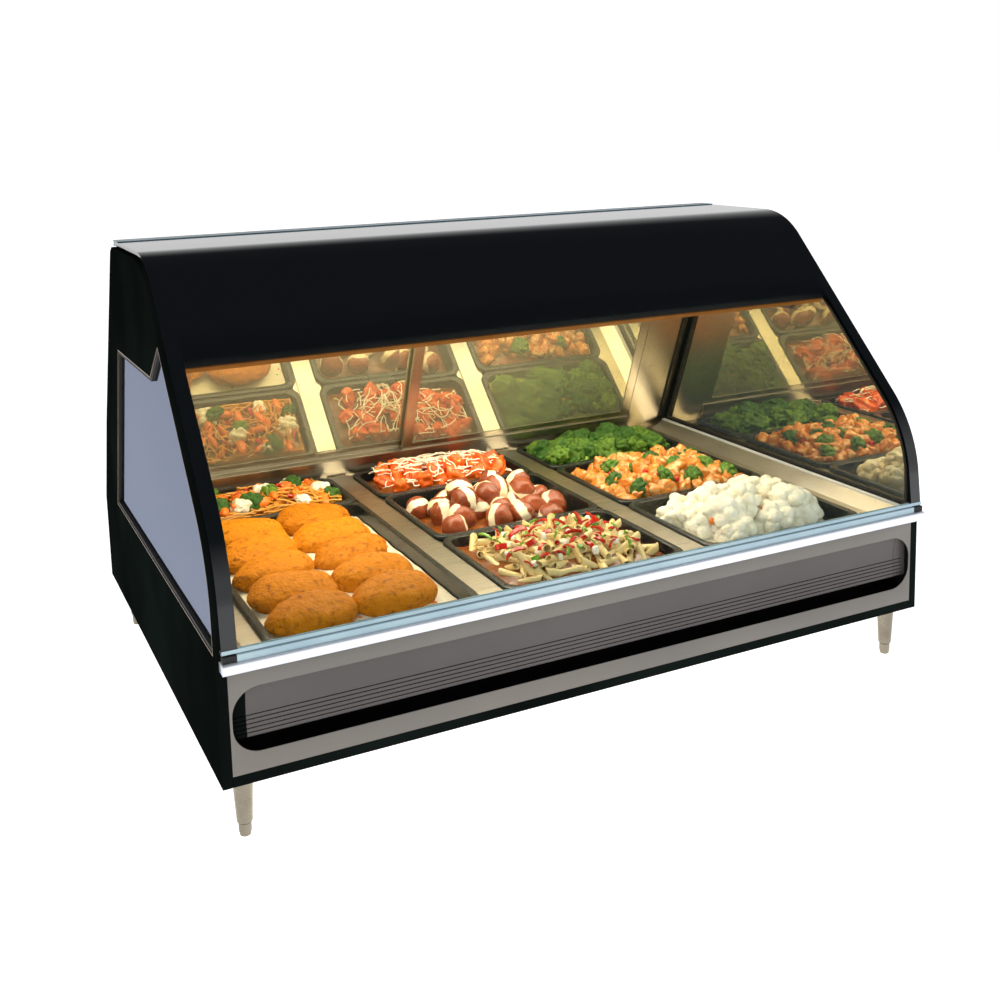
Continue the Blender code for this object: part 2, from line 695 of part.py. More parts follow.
def make_controls(cabinet):
    panel_y = BACK_WALL_Y + GAP
    face_y = panel_y + SHEET
    panel = box("control_panel", (-0.330, panel_y, 0.118), (-0.020, face_y, 0.222), "black_paint")
    cap = [(0, 0.0180), (0.0150, 0.0180), (0.0175, 0.0160), (0.0190, 0.0010)]
    spindle = [(0.0030, 0.0010), (0.0030, -0.0180), (0, -0.0180)]
    place = (KNOB_X, face_y, CONTROL_Z)
    turned("thermostat_knob", cap + spindle, place, "Y", "black_plastic", steps=20)
    low, high = (KNOB_X - 0.024, 0.3800, CONTROL_Z - 0.020), (KNOB_X + 0.024, 0.4275, CONTROL_Z + 0.020)
    body = box("thermostat_body", low, high, "black_plastic")
    cut(body, cylinder("spindle_bore", (KNOB_X, 0.4230, CONTROL_Z), SPINDLE_BORE_R, 0.0250, "Y"))
    lens = [(0, 0.0060), (0.0040, 0.0055), (0.0065, 0.0030), (0.0070, 0.0003)]
    stem = [(0.0040, 0.0003), (0.0040, -0.0100), (0, -0.0100)]
    turned("indicator_lamp", lens + stem, (INDICATOR_X, face_y, CONTROL_Z), "Y", "red_lens", steps=12)
    holes = [
        cylinder("spindle_hole", (KNOB_X, panel_y, CONTROL_Z), SPINDLE_BORE_R, 0.0100, "Y"),
        cylinder("lamp_hole", (INDICATOR_X, panel_y, CONTROL_Z), 0.0045, 0.0100, "Y"),
    ]
    low = (LIGHT_X - 0.016, 0.4000, CONTROL_Z - 0.018)
    high = (POWER_X + 0.016, BACK_WALL_Y - SHEET - GAP, CONTROL_Z + 0.018)
    housing = box("switch_housing", low, high, "black_plastic")
    for name, x in (("power", POWER_X), ("light", LIGHT_X)):
        low = (x - 0.0055, ROCKER_Y - 0.0050, CONTROL_Z - 0.010)
        high = (x + 0.0055, ROCKER_Y + 0.0090, CONTROL_Z + 0.010)
        rocker = box(f"{name}_rocker", low, high, "black_plastic")
        hang_on(axis_empty(f"{name}_rocker_pivot", (x, ROCKER_Y, CONTROL_Z)), rocker)
        low, high = (x - 0.0062, 0.4180, CONTROL_Z - 0.0125), (x + 0.0062, 0.4400, CONTROL_Z + 0.0125)
        holes.append(box(f"{name}_rocker_hole", low, high))
        cut(housing, holes[-1])
    gland_x, gland_z = GLAND
    gland_hole = cylinder("gland_hole", (gland_x, BACK_WALL_Y, gland_z), 0.0086, 0.0100, "Y")
    nut = [(0.0045, 0.0190), (0.0080, 0.0190), (0.0115, 0.0120), (0.0115, 0.0003)]
    thread = [(0.0082, 0.0003), (0.0082, -0.0120), (0.0045, -0.0120)]
    turned("cable_gland", nut + thread, (gland_x, BACK_WALL_Y, gland_z), "Y", "black_plastic")
    cut(panel, *holes)
    cut(cabinet, *holes, gland_hole)


# Food pans


def pan_mesh(name, depth):
    """An open tapered tray with rounded corners, a flat rim and a short turned-down lip."""
    top_x, top_y = PAN_WIDTH / 2 - GAP - RIM, depth / 2 - GAP - RIM
    taper, corner, base_edge = 0.0090, 0.024, 0.008

    def rim_loop(shape):
        return [e for e in shape.edges if e.is_boundary]

    def push_out(shape, amount, drop):
        ring = bmesh.ops.extrude_edge_only(shape, edges=rim_loop(shape))["geom"]
        for vert in (item for item in ring if isinstance(item, bmesh.types.BMVert)):
            vert.co.x += math.copysign(amount, vert.co.x)
            vert.co.y += math.copysign(amount, vert.co.y)
            vert.co.z += drop

    def build(shape):
        bmesh.ops.create_cube(shape, size=1.0, matrix=Matrix.Diagonal((2 * top_x, 2 * top_y, PAN_HEIGHT, 1)))
        bmesh.ops.translate(shape, verts=shape.verts, vec=(0, 0, -PAN_HEIGHT / 2))
        for vert in shape.verts:
            if vert.co.z < -PAN_HEIGHT / 2:
                vert.co.x -= math.copysign(taper, vert.co.x)
                vert.co.y -= math.copysign(taper, vert.co.y)
        round_edge = {"profile": 0.5, "affect": "EDGES", "material": -1}
        upright = [e for e in shape.edges if abs(e.verts[0].co.z - e.verts[1].co.z) > 0.01]
        bmesh.ops.bevel(shape, geom=upright, offset=corner, segments=4, **round_edge)
        lid = [f for f in shape.faces if f.calc_center_median().z > -0.001]
        bmesh.ops.delete(shape, geom=lid, context="FACES")
        foot = [e for e in shape.edges if max(v.co.z for v in e.verts) < -PAN_HEIGHT + 0.001]
        bmesh.ops.bevel(shape, geom=foot, offset=base_edge, segments=2, **round_edge)
        push_out(shape, RIM - 0.0002, 0.0)
        push_out(shape, 0.0002, -RIM_LIP)

    return mesh_from(name, build)


def make_pans():
    meshes = {size: pan_mesh(f"{size}_pan", depth) for size, depth in PAN_DEPTHS.items()}
    columns = {
        "left": ("full", "third"),
        "centre": ("half", "half", "third"),
        "right": ("half", "half", "third"),
    }
    for index, (column, sizes) in enumerate(columns.items()):
        y = PAN_FRONT_Y
        for order, size in enumerate(sizes):
            middle = ((index - 1) * PAN_PITCH, y + PAN_DEPTHS[size] / 2, PAN_TOP)
            place = ("front", "middle")[order] if size == "half" else size
            pan = add_object(f"pan_{column}_{place}", meshes[size].copy(), "pan_black", middle)
            wall = pan.modifiers.new("wall", "SOLIDIFY")
            wall.thickness = PAN_WALL
            wall.offset = -1.0
            wall.use_even_offset = True
            y += PAN_DEPTHS[size]


cabinet = make_base()
make_fascia()
make_louvre()
make_front_rails()
make_deck()
make_well()
make_heating_cable()
make_legs()
make_ends()
make_front_glass()
make_top_rail()
make_hood()
make_tracks()
make_doors()
make_controls(cabinet)
make_pans()
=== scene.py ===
# Heated food display case: the looks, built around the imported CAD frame.
# Metres, +Z up, customer side towards -Y.
import math
import random

import bmesh
import bpy
from mathutils import Matrix, Vector, noise


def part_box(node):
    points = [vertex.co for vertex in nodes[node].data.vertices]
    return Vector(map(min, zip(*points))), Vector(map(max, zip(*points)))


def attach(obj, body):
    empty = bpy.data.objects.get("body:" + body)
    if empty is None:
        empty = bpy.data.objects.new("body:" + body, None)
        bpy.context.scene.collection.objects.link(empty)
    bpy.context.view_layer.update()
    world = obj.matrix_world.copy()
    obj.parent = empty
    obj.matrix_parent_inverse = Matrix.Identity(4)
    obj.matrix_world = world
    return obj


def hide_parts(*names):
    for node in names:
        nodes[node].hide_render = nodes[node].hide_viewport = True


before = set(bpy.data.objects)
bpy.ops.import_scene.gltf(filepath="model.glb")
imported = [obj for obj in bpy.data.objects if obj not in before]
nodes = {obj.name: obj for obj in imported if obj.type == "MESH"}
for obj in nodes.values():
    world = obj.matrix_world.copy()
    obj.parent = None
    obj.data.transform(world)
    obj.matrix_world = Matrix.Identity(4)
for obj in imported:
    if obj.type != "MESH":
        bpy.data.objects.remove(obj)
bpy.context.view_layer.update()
print("frame loaded:", len(nodes), "nodes")

case = {
    "half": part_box("end_panel_right")[1].x,
    "inner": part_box("hood_shell")[1].x,
    "glassHalf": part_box("front_glass")[1].x,
    "floor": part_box("kick_strip")[0].z,
    "rear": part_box("end_panel_right")[1].y,
    "front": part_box("front_fascia")[0].y,
    "glassCorners": ((0.1755, 0.7655), (-0.082, 0.7655), (-0.430, 0.412), (-0.4446, 0.2830)),
    "topBend": 0.14,
    "footBend": 0.22,
    "glassThick": 0.005,
    "gap": 0.0003,  # left between pieces that touch
}


# Node materials


def toLinear(hexColour):
    channels = [int(hexColour[i : i + 2], 16) / 255 for i in (1, 3, 5)]
    return [c / 12.92 if c <= 0.04045 else ((c + 0.055) / 1.055) ** 2.4 for c in channels] + [1.0]


def addNode(tree, kind, settings=None, links=None):
    node = tree.nodes.new("ShaderNode" + kind)
    for key, value in (settings or {}).items():
        if isinstance(key, str) and hasattr(node, key):
            setattr(node, key, value)
        else:
            node.inputs[key].default_value = toLinear(value) if isinstance(value, str) else value
    for key, socket in (links or {}).items():
        tree.links.new(socket, node.inputs[key])
    return node


def newMaterial(name):
    material = bpy.data.materials.new(name)
    material.use_nodes = True
    tree = material.node_tree
    shader = tree.nodes["Principled BSDF"]
    return material, tree, shader, tree.nodes["Material Output"]


def noiseNode(tree, place, featureMm, detail=2.0):
    settings = {"Scale": 1000 / featureMm, "Detail": detail}
    return addNode(tree, "TexNoise", settings, {"Vector": place}).outputs[0]


def rangeNode(tree, value, start, end, low=0.0, high=1.0):
    return addNode(tree, "MapRange", {1: start, 2: end, 3: low, 4: high}, {0: value}).outputs[0]


def blendNode(tree, share, first, second):
    return addNode(tree, "Mix", {"data_type": "RGBA", 6: first, 7: second}, {0: share}).outputs[2]


def mathNode(tree, operation, *operands):
    settings, links = {"operation": operation}, {}
    for key, operand in enumerate(operands):
        (links if isinstance(operand, bpy.types.NodeSocket) else settings)[key] = operand
    return addNode(tree, "Math", settings, links).outputs[0]


def bumpNode(tree, height, strength, depthMm):
    settings = {"Strength": strength, "Distance": depthMm / 1000}
    return addNode(tree, "Bump", settings, {"Height": height}).outputs[0]


def linkShader(tree, shader, sockets):
    for key, socket in sockets.items():
        tree.links.new(socket, shader.inputs[key])


def setShader(shader, settings):
    for key, value in settings.items():
        shader.inputs[key].default_value = toLinear(value) if isinstance(value, str) else value


def makeFinish(name, look):
    # Two colours drift into each other over driftMm; the finer grainMm pattern carries roughness and bump.
    material, tree, shader, _ = newMaterial(name)
    setShader(shader, look.get("shader", {}))
    place = addNode(tree, "TexCoord").outputs["Object"]
    mapped = addNode(tree, "Mapping", {"Scale": look.get("stretch", (1, 1, 1))}, {"Vector": place}).outputs[0]
    grain = noiseNode(tree, mapped, look["grainMm"], 5.0)
    drift = noiseNode(tree, place, look["driftMm"], 3.0)
    tint = blendNode(tree, rangeNode(tree, drift, 0.35, 0.65), *look["colours"])
    rough = rangeNode(tree, grain, 0.3, 0.7, *look["roughness"])
    relief = bumpNode(tree, grain, look["bump"], look.get("depthMm", 0.1))
    linkShader(tree, shader, {"Base Color": tint, "Roughness": rough, "Normal": relief})
    return material


finishes = {
    # Powder coat on steel: almost black with a green cast, a soft sheen and a fine orange peel.
    "blackPowderCoat": {
        "colours": ("#0A0E0D", "#121816"), "driftMm": 240, "grainMm": 2.2, "roughness": (0.40, 0.52),
        "bump": 0.10, "shader": {"Specular IOR Level": 0.0},
    },
    # Dark grey baked coat of the lamp hood: shows as a lighter tone between the dots of the glass's border.
    "hoodCoat": {
        "colours": ("#41474A", "#373C3F"), "driftMm": 240, "grainMm": 2.0, "roughness": (0.45, 0.55),
        "bump": 0.08, "shader": {"Specular IOR Level": 0.2},
    },
    # Brushed stainless sheet: warm grey metal, drawn out in fine lines along the case.
    "brushedStainless": {
        "colours": ("#C9C2B4", "#B7B0A2"), "driftMm": 180, "grainMm": 1.4, "stretch": (0.02, 1, 1),
        "roughness": (0.26, 0.36), "bump": 0.04, "shader": {"Metallic": 1.0},
    },
    # Stainless brushed up and down on posts and door frames: fine even grain, warm grey.
    "uprightStainless": {
        "colours": ("#CFC7B6", "#C2B9A8"), "driftMm": 240, "grainMm": 1.0, "stretch": (1, 1, 0.03),
        "roughness": (0.26, 0.34), "bump": 0.03, "shader": {"Metallic": 1.0},
    },
    # Turned stainless legs: champagne grey, with fine rings left by the lathe.
    "turnedStainless": {
        "colours": ("#8F8778", "#7A7365"), "driftMm": 60, "grainMm": 1.2, "stretch": (0.1, 0.1, 1),
        "roughness": (0.22, 0.34), "bump": 0.08, "shader": {"Metallic": 1.0},
    },
    # Satin metallic paint on the fascia: warm mid grey with a faint flake.
    "satinGreyPaint": {
        "colours": ("#6C6761", "#64605B"), "driftMm": 300, "grainMm": 1.0, "roughness": (0.38, 0.48),
        "bump": 0.05, "shader": {"Metallic": 0.25},
    },
    # Satin paint of the intake insert: warm dark grey.
    "louvreGrey": {
        "colours": ("#4B4745", "#44403E"), "driftMm": 300, "grainMm": 1.0, "roughness": (0.40, 0.50),
        "bump": 0.05, "shader": {"Metallic": 0.2},
    },
    # Matt near-black inside the intake: painted shade that stands in for the shadow in the slot, taking
    # almost all the light.
    "paintedShadeBlack": {
        "colours": ("#020202", "#040404"), "driftMm": 60, "grainMm": 1.5, "roughness": (0.8, 0.9),
        "bump": 0.05, "shader": {"Specular IOR Level": 0.05},
    },
    # Clear anodised aluminium of the bullnose: bright, cool and almost white.
    "brightAnodised": {
        "colours": ("#DDE1E8", "#D2D6DE"), "driftMm": 200, "grainMm": 1.2, "stretch": (0.03, 1, 1),
        "roughness": (0.28, 0.38), "bump": 0.05, "shader": {"Metallic": 0.55},
    },
    # Blue-grey anodised rail along the top edge and the hinge.
    "tealAnodised": {
        "colours": ("#5C7A86", "#4C6974"), "driftMm": 150, "grainMm": 1.2, "stretch": (0.03, 1, 1),
        "roughness": (0.25, 0.38), "bump": 0.05, "shader": {"Metallic": 0.6},
    },
    # Extruded PVC seal under the glass: matt blue grey.
    "sealPvc": {
        "colours": ("#9DB2BA", "#8CA4AE"), "driftMm": 120, "grainMm": 1.5, "roughness": (0.40, 0.52),
        "bump": 0.06,
    },
    # Black rubber gasket: dull and slightly grainy.
    "blackRubber": {
        "colours": ("#0B0B0C", "#141414"), "driftMm": 40, "grainMm": 0.8, "roughness": (0.60, 0.75),
        "bump": 0.15,
    },
    # Bronze-coloured edge trim round the side windows.
    "bronzeTrim": {
        "colours": ("#8A6C45", "#6E5436"), "driftMm": 60, "grainMm": 1.0, "roughness": (0.25, 0.40),
        "bump": 0.05, "shader": {"Metallic": 0.9},
    },
    # Moulded polycarbonate food pans: glossy black with light scuffs.
    "blackPolycarbonate": {
        "colours": ("#0F1413", "#171E1D"), "driftMm": 90, "grainMm": 1.2, "roughness": (0.22, 0.32),
        "bump": 0.01,
    },
    # Moulded ABS of knob, switches and gland: black, fine spark texture.
    "blackAbs": {
        "colours": ("#101011", "#1A1A1B"), "driftMm": 30, "grainMm": 0.7, "roughness": (0.38, 0.50),
        "bump": 0.12,
    },
    # White moulded print on the dial.
    "whiteMoulding": {
        "colours": ("#E6E6E2", "#D8D8D4"), "driftMm": 30, "grainMm": 1.0, "roughness": (0.45, 0.55),
        "bump": 0.02,
    },
    # Mineral wool under the wells: matted yellow-brown fibres.
    "mineralWool": {
        "colours": ("#C7B47A", "#9F8C58"), "driftMm": 25, "grainMm": 1.5, "stretch": (0.3, 0.3, 1),
        "roughness": (0.90, 1.0), "bump": 0.9, "depthMm": 1.5,
    },
    # Silicone-sheathed heating cable: dull brick red.
    "siliconeRubber": {
        "colours": ("#9A3A26", "#86301F"), "driftMm": 40, "grainMm": 1.0, "roughness": (0.50, 0.62),
        "bump": 0.08,
    },
    # Red acrylic lens of the indicator lamp: glossy and deep.
    "redAcrylic": {
        "colours": ("#B8150B", "#8E0F08"), "driftMm": 8, "grainMm": 1.5, "roughness": (0.10, 0.18),
        "bump": 0.05,
    },
    # Bright-rolled aluminium of the lamp reflector: mirror-like with a faint ripple.
    "rolledAluminium": {
        "colours": ("#E4DFD4", "#D4CFC4"), "driftMm": 60, "grainMm": 8.0, "stretch": (0.1, 1, 1),
        "roughness": (0.12, 0.22), "bump": 0.10, "shader": {"Metallic": 1.0},
    },
    # Lip under the hood: its copper tone and faint glow are painted warm lamplight; it is no lamp.
    "paintedLampGlowLip": {
        "colours": ("#7A5228", "#5C3A1A"), "driftMm": 45, "grainMm": 2.0, "stretch": (0.05, 1, 1),
        "roughness": (0.30, 0.45), "bump": 0.06,
        "shader": {"Metallic": 0.7, "Emission Color": "#E08A3C", "Emission Strength": 0.25},
    },
}
finish = {name: makeFinish(name, look) for name, look in finishes.items()}


def makeThinGlass(name, look):
    # Thin pane: clear where it is looked through, glossier towards grazing angles.
    material, tree, shader, output = newMaterial(name)
    tree.nodes.remove(shader)
    place = addNode(tree, "TexCoord").outputs["Object"]
    relief = bumpNode(tree, noiseNode(tree, place, look["rippleMm"]), 0.02, 0.2)
    clear = addNode(tree, "BsdfTransparent", {"Color": look["through"]})
    surface = {"Color": look["mirror"], "Roughness": look["roughness"]}
    gloss = addNode(tree, "BsdfGlossy", surface, {"Normal": relief})
    facing = addNode(tree, "LayerWeight", {"Blend": 0.5}).outputs["Facing"]
    share = rangeNode(tree, mathNode(tree, "POWER", facing, 5.0), 0.0, 1.0, look["coat"])
    pane = addNode(tree, "MixShader", {}, {0: share, 1: clear.outputs[0], 2: gloss.outputs[0]}).outputs[0]
    tree.links.new(pane, output.inputs["Surface"])
    return material, tree, place, pane, output


def makeFritGlass(name, look):
    # Tempered glass with black enamel fired on: solid above, thinning to fine dots at its lower edge,
    # and a band down each side.
    material, tree, place, pane, output = makeThinGlass(name, look)
    axes = addNode(tree, "SeparateXYZ", {}, {0: place}).outputs
    bandEdge = case["glassHalf"] - look["band"]
    band = mathNode(tree, "GREATER_THAN", mathNode(tree, "ABSOLUTE", axes["X"]), bandEdge)
    slope = mathNode(tree, "MULTIPLY", axes["Z"], look["slope"])
    perMetre = 2 * math.pi / (look["dotPitch"] * look["diagonal"])
    waves = []
    for way in ("ADD", "SUBTRACT"):
        turns = mathNode(tree, "MULTIPLY", mathNode(tree, way, axes["X"], slope), perMetre)
        waves.append(mathNode(tree, "SINE", turns))
    dots = mathNode(tree, "MULTIPLY", *waves)
    cover = rangeNode(tree, axes["Z"], look["dotsLow"], look["dotsHigh"], 0.25, -1.05)
    dotted = mathNode(tree, "GREATER_THAN", dots, cover)
    above = mathNode(tree, "GREATER_THAN", axes["Z"], look["dotsLow"])
    mask = mathNode(tree, "MAXIMUM", mathNode(tree, "MULTIPLY", dotted, above), band)
    surface = {"Base Color": look["enamel"], "Roughness": 0.10, "Specular IOR Level": 0.5}
    enamel = addNode(tree, "BsdfPrincipled", surface).outputs[0]
    whole = addNode(tree, "MixShader", {}, {0: mask, 1: pane, 2: enamel})
    tree.links.new(whole.outputs[0], output.inputs["Surface"])
    return material


def makeMirrorGlass(name, look):
    # One-way mirror: a strong tinted reflection under a thin milky film.
    material, tree, shader, output = newMaterial(name)
    place = addNode(tree, "TexCoord").outputs["Object"]
    share = rangeNode(tree, noiseNode(tree, place, look["filmMm"]), 0.3, 0.7, *look["film"])
    gloss = addNode(tree, "BsdfGlossy", {"Color": look["mirror"], "Roughness": look["roughness"]})
    setShader(shader, {"Base Color": look["milk"], "Roughness": 0.35})
    mixed = addNode(tree, "MixShader", {}, {0: share, 1: gloss.outputs[0], 2: shader.outputs[0]})
    tree.links.new(mixed.outputs[0], output.inputs["Surface"])
    return material


def makeGlow(name, look):
    # Lit lamp tube: warm glass that glows, a little brighter in patches.
    material, tree, shader, _ = newMaterial(name)
    place = addNode(tree, "TexCoord").outputs["Object"]
    tint = blendNode(tree, noiseNode(tree, place, look["patchMm"]), *look["colours"])
    linkShader(tree, shader, {"Emission Color": tint, "Base Color": tint})
    setShader(shader, {"Emission Strength": look["strength"], "Roughness": 0.25})
    return material


finish["fritGlass"] = makeFritGlass(
    "fritGlass",
    {
        "through": "#F6FAF8",
        "mirror": "#A4A9B2",
        "roughness": 0.01,
        "coat": 0.004,
        "rippleMm": 160,
        "enamel": "#0A0D0F",
        "band": 0.021,
        "dotPitch": 0.0052,
        "diagonal": 1.42,  # the dots' rows run diagonally
        "slope": 1.42,  # metres along the glass per metre of height, about
        "dotsLow": 0.614,
        "dotsHigh": 0.668,
    },
)
# Side panes: the olive through-tint and warm gloss of the inner faces, and the lavender tint of the outer
# faces, are painted reflections of the warm inside and of the pale studio.
finish["sidePaneInnerReflectionTint"] = makeThinGlass(
    "sidePaneInnerReflectionTint",
    {"through": "#B2B094", "mirror": "#EFE8CC", "roughness": 0.012, "coat": 0.62, "rippleMm": 200},
)[0]
finish["sidePaneOuterReflectionTint"] = makeThinGlass(
    "sidePaneOuterReflectionTint",
    {"through": "#8E94A8", "mirror": "#9199AE", "roughness": 0.012, "coat": 0.50, "rippleMm": 200},
)[0]
finish["mirrorGlass"] = makeMirrorGlass(
    "mirrorGlass",
    {"mirror": "#CFCBAE", "milk": "#D6D4B0", "roughness": 0.02, "film": (0.20, 0.25), "filmMm": 260},
)
finish["lampGlass"] = makeGlow(
    "lampGlass", {"colours": ("#FFE8C4", "#FFDCA8"), "strength": 1.6, "patchMm": 120}
)
print("materials ready:", len(finish))


# Shapes


def cornerArc(before, corner, after, radius, steps):
    # The points of a fillet at one corner of a path.
    before, corner, after = Vector(before), Vector(corner), Vector(after)
    back, ahead = (before - corner).normalized(), (after - corner).normalized()
    half = back.angle(ahead) / 2
    centre = corner + (back + ahead).normalized() * (radius / math.sin(half))
    start = corner + back * (radius / math.tan(half)) - centre
    sweep = start.angle_signed(corner + ahead * (radius / math.tan(half)) - centre)
    return [tuple(centre + Matrix.Rotation(-sweep * i / steps, 2) @ start) for i in range(steps + 1)]


def roundedPath(corners, radius, steps, closed=True):
    points = []
    for i, corner in enumerate(corners):
        if not closed and i in (0, len(corners) - 1):
            points.append(corner)
            continue
        reach = radius[i] if isinstance(radius, (list, tuple)) else radius
        after = corners[(i + 1) % len(corners)]
        points += cornerArc(corners[i - 1], corner, after, reach, steps) if reach else [corner]
    return points


def insetPath(points, distance, closed=True):
    # Moves a path to its left, and keeps its corners sharp.
    count, moved = len(points), []
    for i, point in enumerate(points):
        here = Vector(point)
        into = here - Vector(points[i - 1]) if closed or i > 0 else None
        out = Vector(points[(i + 1) % count]) - here if closed or i < count - 1 else None
        sides = [Vector((-d.y, d.x)).normalized() for d in (into, out) if d is not None]
        side = sides[0] if len(sides) == 1 else (sides[0] + sides[1]) / (1 + sides[0].dot(sides[1]))
        moved.append(tuple(here + side * distance))
    return moved


def crossing(point, direction, low, high):
    point, direction, low, high = Vector(point), Vector(direction), Vector(low), Vector(high)
    span = high - low
    return tuple(low + span * (direction.cross(point - low) / direction.cross(span)))


def glassPath(inset, steps=20):
    corners = insetPath(case["glassCorners"], inset, closed=False)
    path = [corners[0]]
    path += cornerArc(corners[0], corners[1], corners[2], case["topBend"] - inset, steps)
    path += cornerArc(corners[1], corners[2], corners[3], case["footBend"] - inset, steps)
    return path + [corners[3]]


def outlineMesh(outlines, low, high, turn, edge=0.0):
    # A flat outline with its holes, run from low to high, its edges rounded by edge.
    curve = bpy.data.curves.new("outline", "CURVE")
    curve.dimensions = "2D"
    curve.fill_mode = "BOTH"
    curve.extrude = (high - low) / 2 - edge
    curve.bevel_depth = edge
    curve.bevel_resolution = 1
    curve.offset = -edge
    for outline in outlines:
        spline = curve.splines.new("POLY")
        spline.points.add(len(outline) - 1)
        for point, (across, up) in zip(spline.points, outline):
            point.co = (across, up, 0, 1)
        spline.use_cyclic_u = True
    holder = bpy.data.objects.new("outline", curve)
    bpy.context.scene.collection.objects.link(holder)
    bpy.context.view_layer.update()
    mesh = bpy.data.meshes.new_from_object(holder.evaluated_get(bpy.context.evaluated_depsgraph_get()))
    bpy.data.objects.remove(holder)
    mesh.transform(turn @ Matrix.Translation((0, 0, (low + high) / 2)))
    return weld(mesh)


def finishMesh(shape, name):
    mesh = bpy.data.meshes.new(name)
    shape.to_mesh(mesh)
    shape.free()
    return mesh


def roundEdges(shape, edges, radius, segments):
    bmesh.ops.bevel(
        shape, geom=edges, offset=radius, segments=segments, profile=0.5, affect="EDGES", material=-1
    )


def turnShape(shape, angle, axis):
    bmesh.ops.rotate(shape, verts=shape.verts, cent=(0, 0, 0), matrix=Matrix.Rotation(angle, 3, axis))


def weld(mesh, distance=0.00001):
    shape = bmesh.new()
    shape.from_mesh(mesh)
    bmesh.ops.remove_doubles(shape, verts=shape.verts, dist=distance)
    bmesh.ops.recalc_face_normals(shape, faces=shape.faces)
    shape.to_mesh(mesh)
    shape.free()
    return mesh


alongX = Matrix(((0, 0, 1, 0), (1, 0, 0, 0), (0, 1, 0, 0), (0, 0, 0, 1)))  # outline (y, z), run along X
alongY = Matrix(((1, 0, 0, 0), (0, 0, -1, 0), (0, 1, 0, 0), (0, 0, 0, 1)))  # outline (x, z), run along -Y


def addPiece(name, mesh, body, materials, replaced=(), sharp=35):
    piece = bpy.data.objects.new(name, mesh)
    bpy.context.scene.collection.objects.link(piece)
    for material in materials:
        mesh.materials.append(finish[material])
    mesh.shade_smooth()
    mesh.set_sharp_from_angle(angle=math.radians(sharp))
    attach(piece, body)
    if replaced:
        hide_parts(*replaced)
    return piece


def sheetMesh(path, low, high, thickness, inward):
    # Bent sheet: an open path in (y, z) run along X, then given its thickness.
    shape = bmesh.new()
    row = [shape.verts.new((low, y, z)) for y, z in path]
    edges = [shape.edges.new(pair) for pair in zip(row, row[1:])]
    swept = bmesh.ops.extrude_edge_only(shape, edges=edges)["geom"]
    far = [item for item in swept if isinstance(item, bmesh.types.BMVert)]
    bmesh.ops.translate(shape, verts=far, vec=(high - low, 0, 0))
    bmesh.ops.recalc_face_normals(shape, faces=shape.faces)
    left = Matrix.Rotation(math.pi / 2, 2) @ (Vector(path[1]) - Vector(path[0]))
    if edges[0].link_faces[0].normal.yz.dot(left) < 0:
        bmesh.ops.reverse_faces(shape, faces=shape.faces)
    bmesh.ops.solidify(shape, geom=shape.faces[:], thickness=-thickness if inward else thickness)
    return finishMesh(shape, "sheet")


def turnedMesh(profile, place, steps=48, axis="Z"):
    # A profile of (radius, height) spun about an upright axis at place, or about one along Y.
    shape = bmesh.new()
    verts = [shape.verts.new((radius, 0, height)) for radius, height in profile]
    edges = [shape.edges.new(pair) for pair in zip(verts, verts[1:])]
    sweep = {"cent": (0, 0, 0), "axis": (0, 0, 1), "angle": 2 * math.pi, "steps": steps}
    bmesh.ops.spin(shape, geom=verts + edges, use_merge=True, **sweep)
    bmesh.ops.remove_doubles(shape, verts=shape.verts, dist=0.00002)
    bmesh.ops.recalc_face_normals(shape, faces=shape.faces)
    if axis == "Y":
        turnShape(shape, -math.pi / 2, "X")
    bmesh.ops.translate(shape, verts=shape.verts, vec=place)
    return finishMesh(shape, "turned")


def blockMesh(low, high, edge=0.0005, segments=2):
    low, high = Vector(low), Vector(high)
    shape = bmesh.new()
    place = Matrix.Translation((low + high) / 2) @ Matrix.Diagonal((*(high - low), 1))
    bmesh.ops.create_cube(shape, size=1.0, matrix=place)
    roundEdges(shape, shape.edges[:], edge, segments)
    return finishMesh(shape, "block")


def joinMeshes(meshes):
    shape = bmesh.new()
    for mesh in meshes:
        shape.from_mesh(mesh)
        bpy.data.meshes.remove(mesh)
    return finishMesh(shape, "joined")


# Ends: black panels with a glazed window

ends = {"panelInset": 0.009, "windowInset": 0.019, "hoodCorner": (-0.1025, 0.585), "sill": 0.272, "steps": 20}


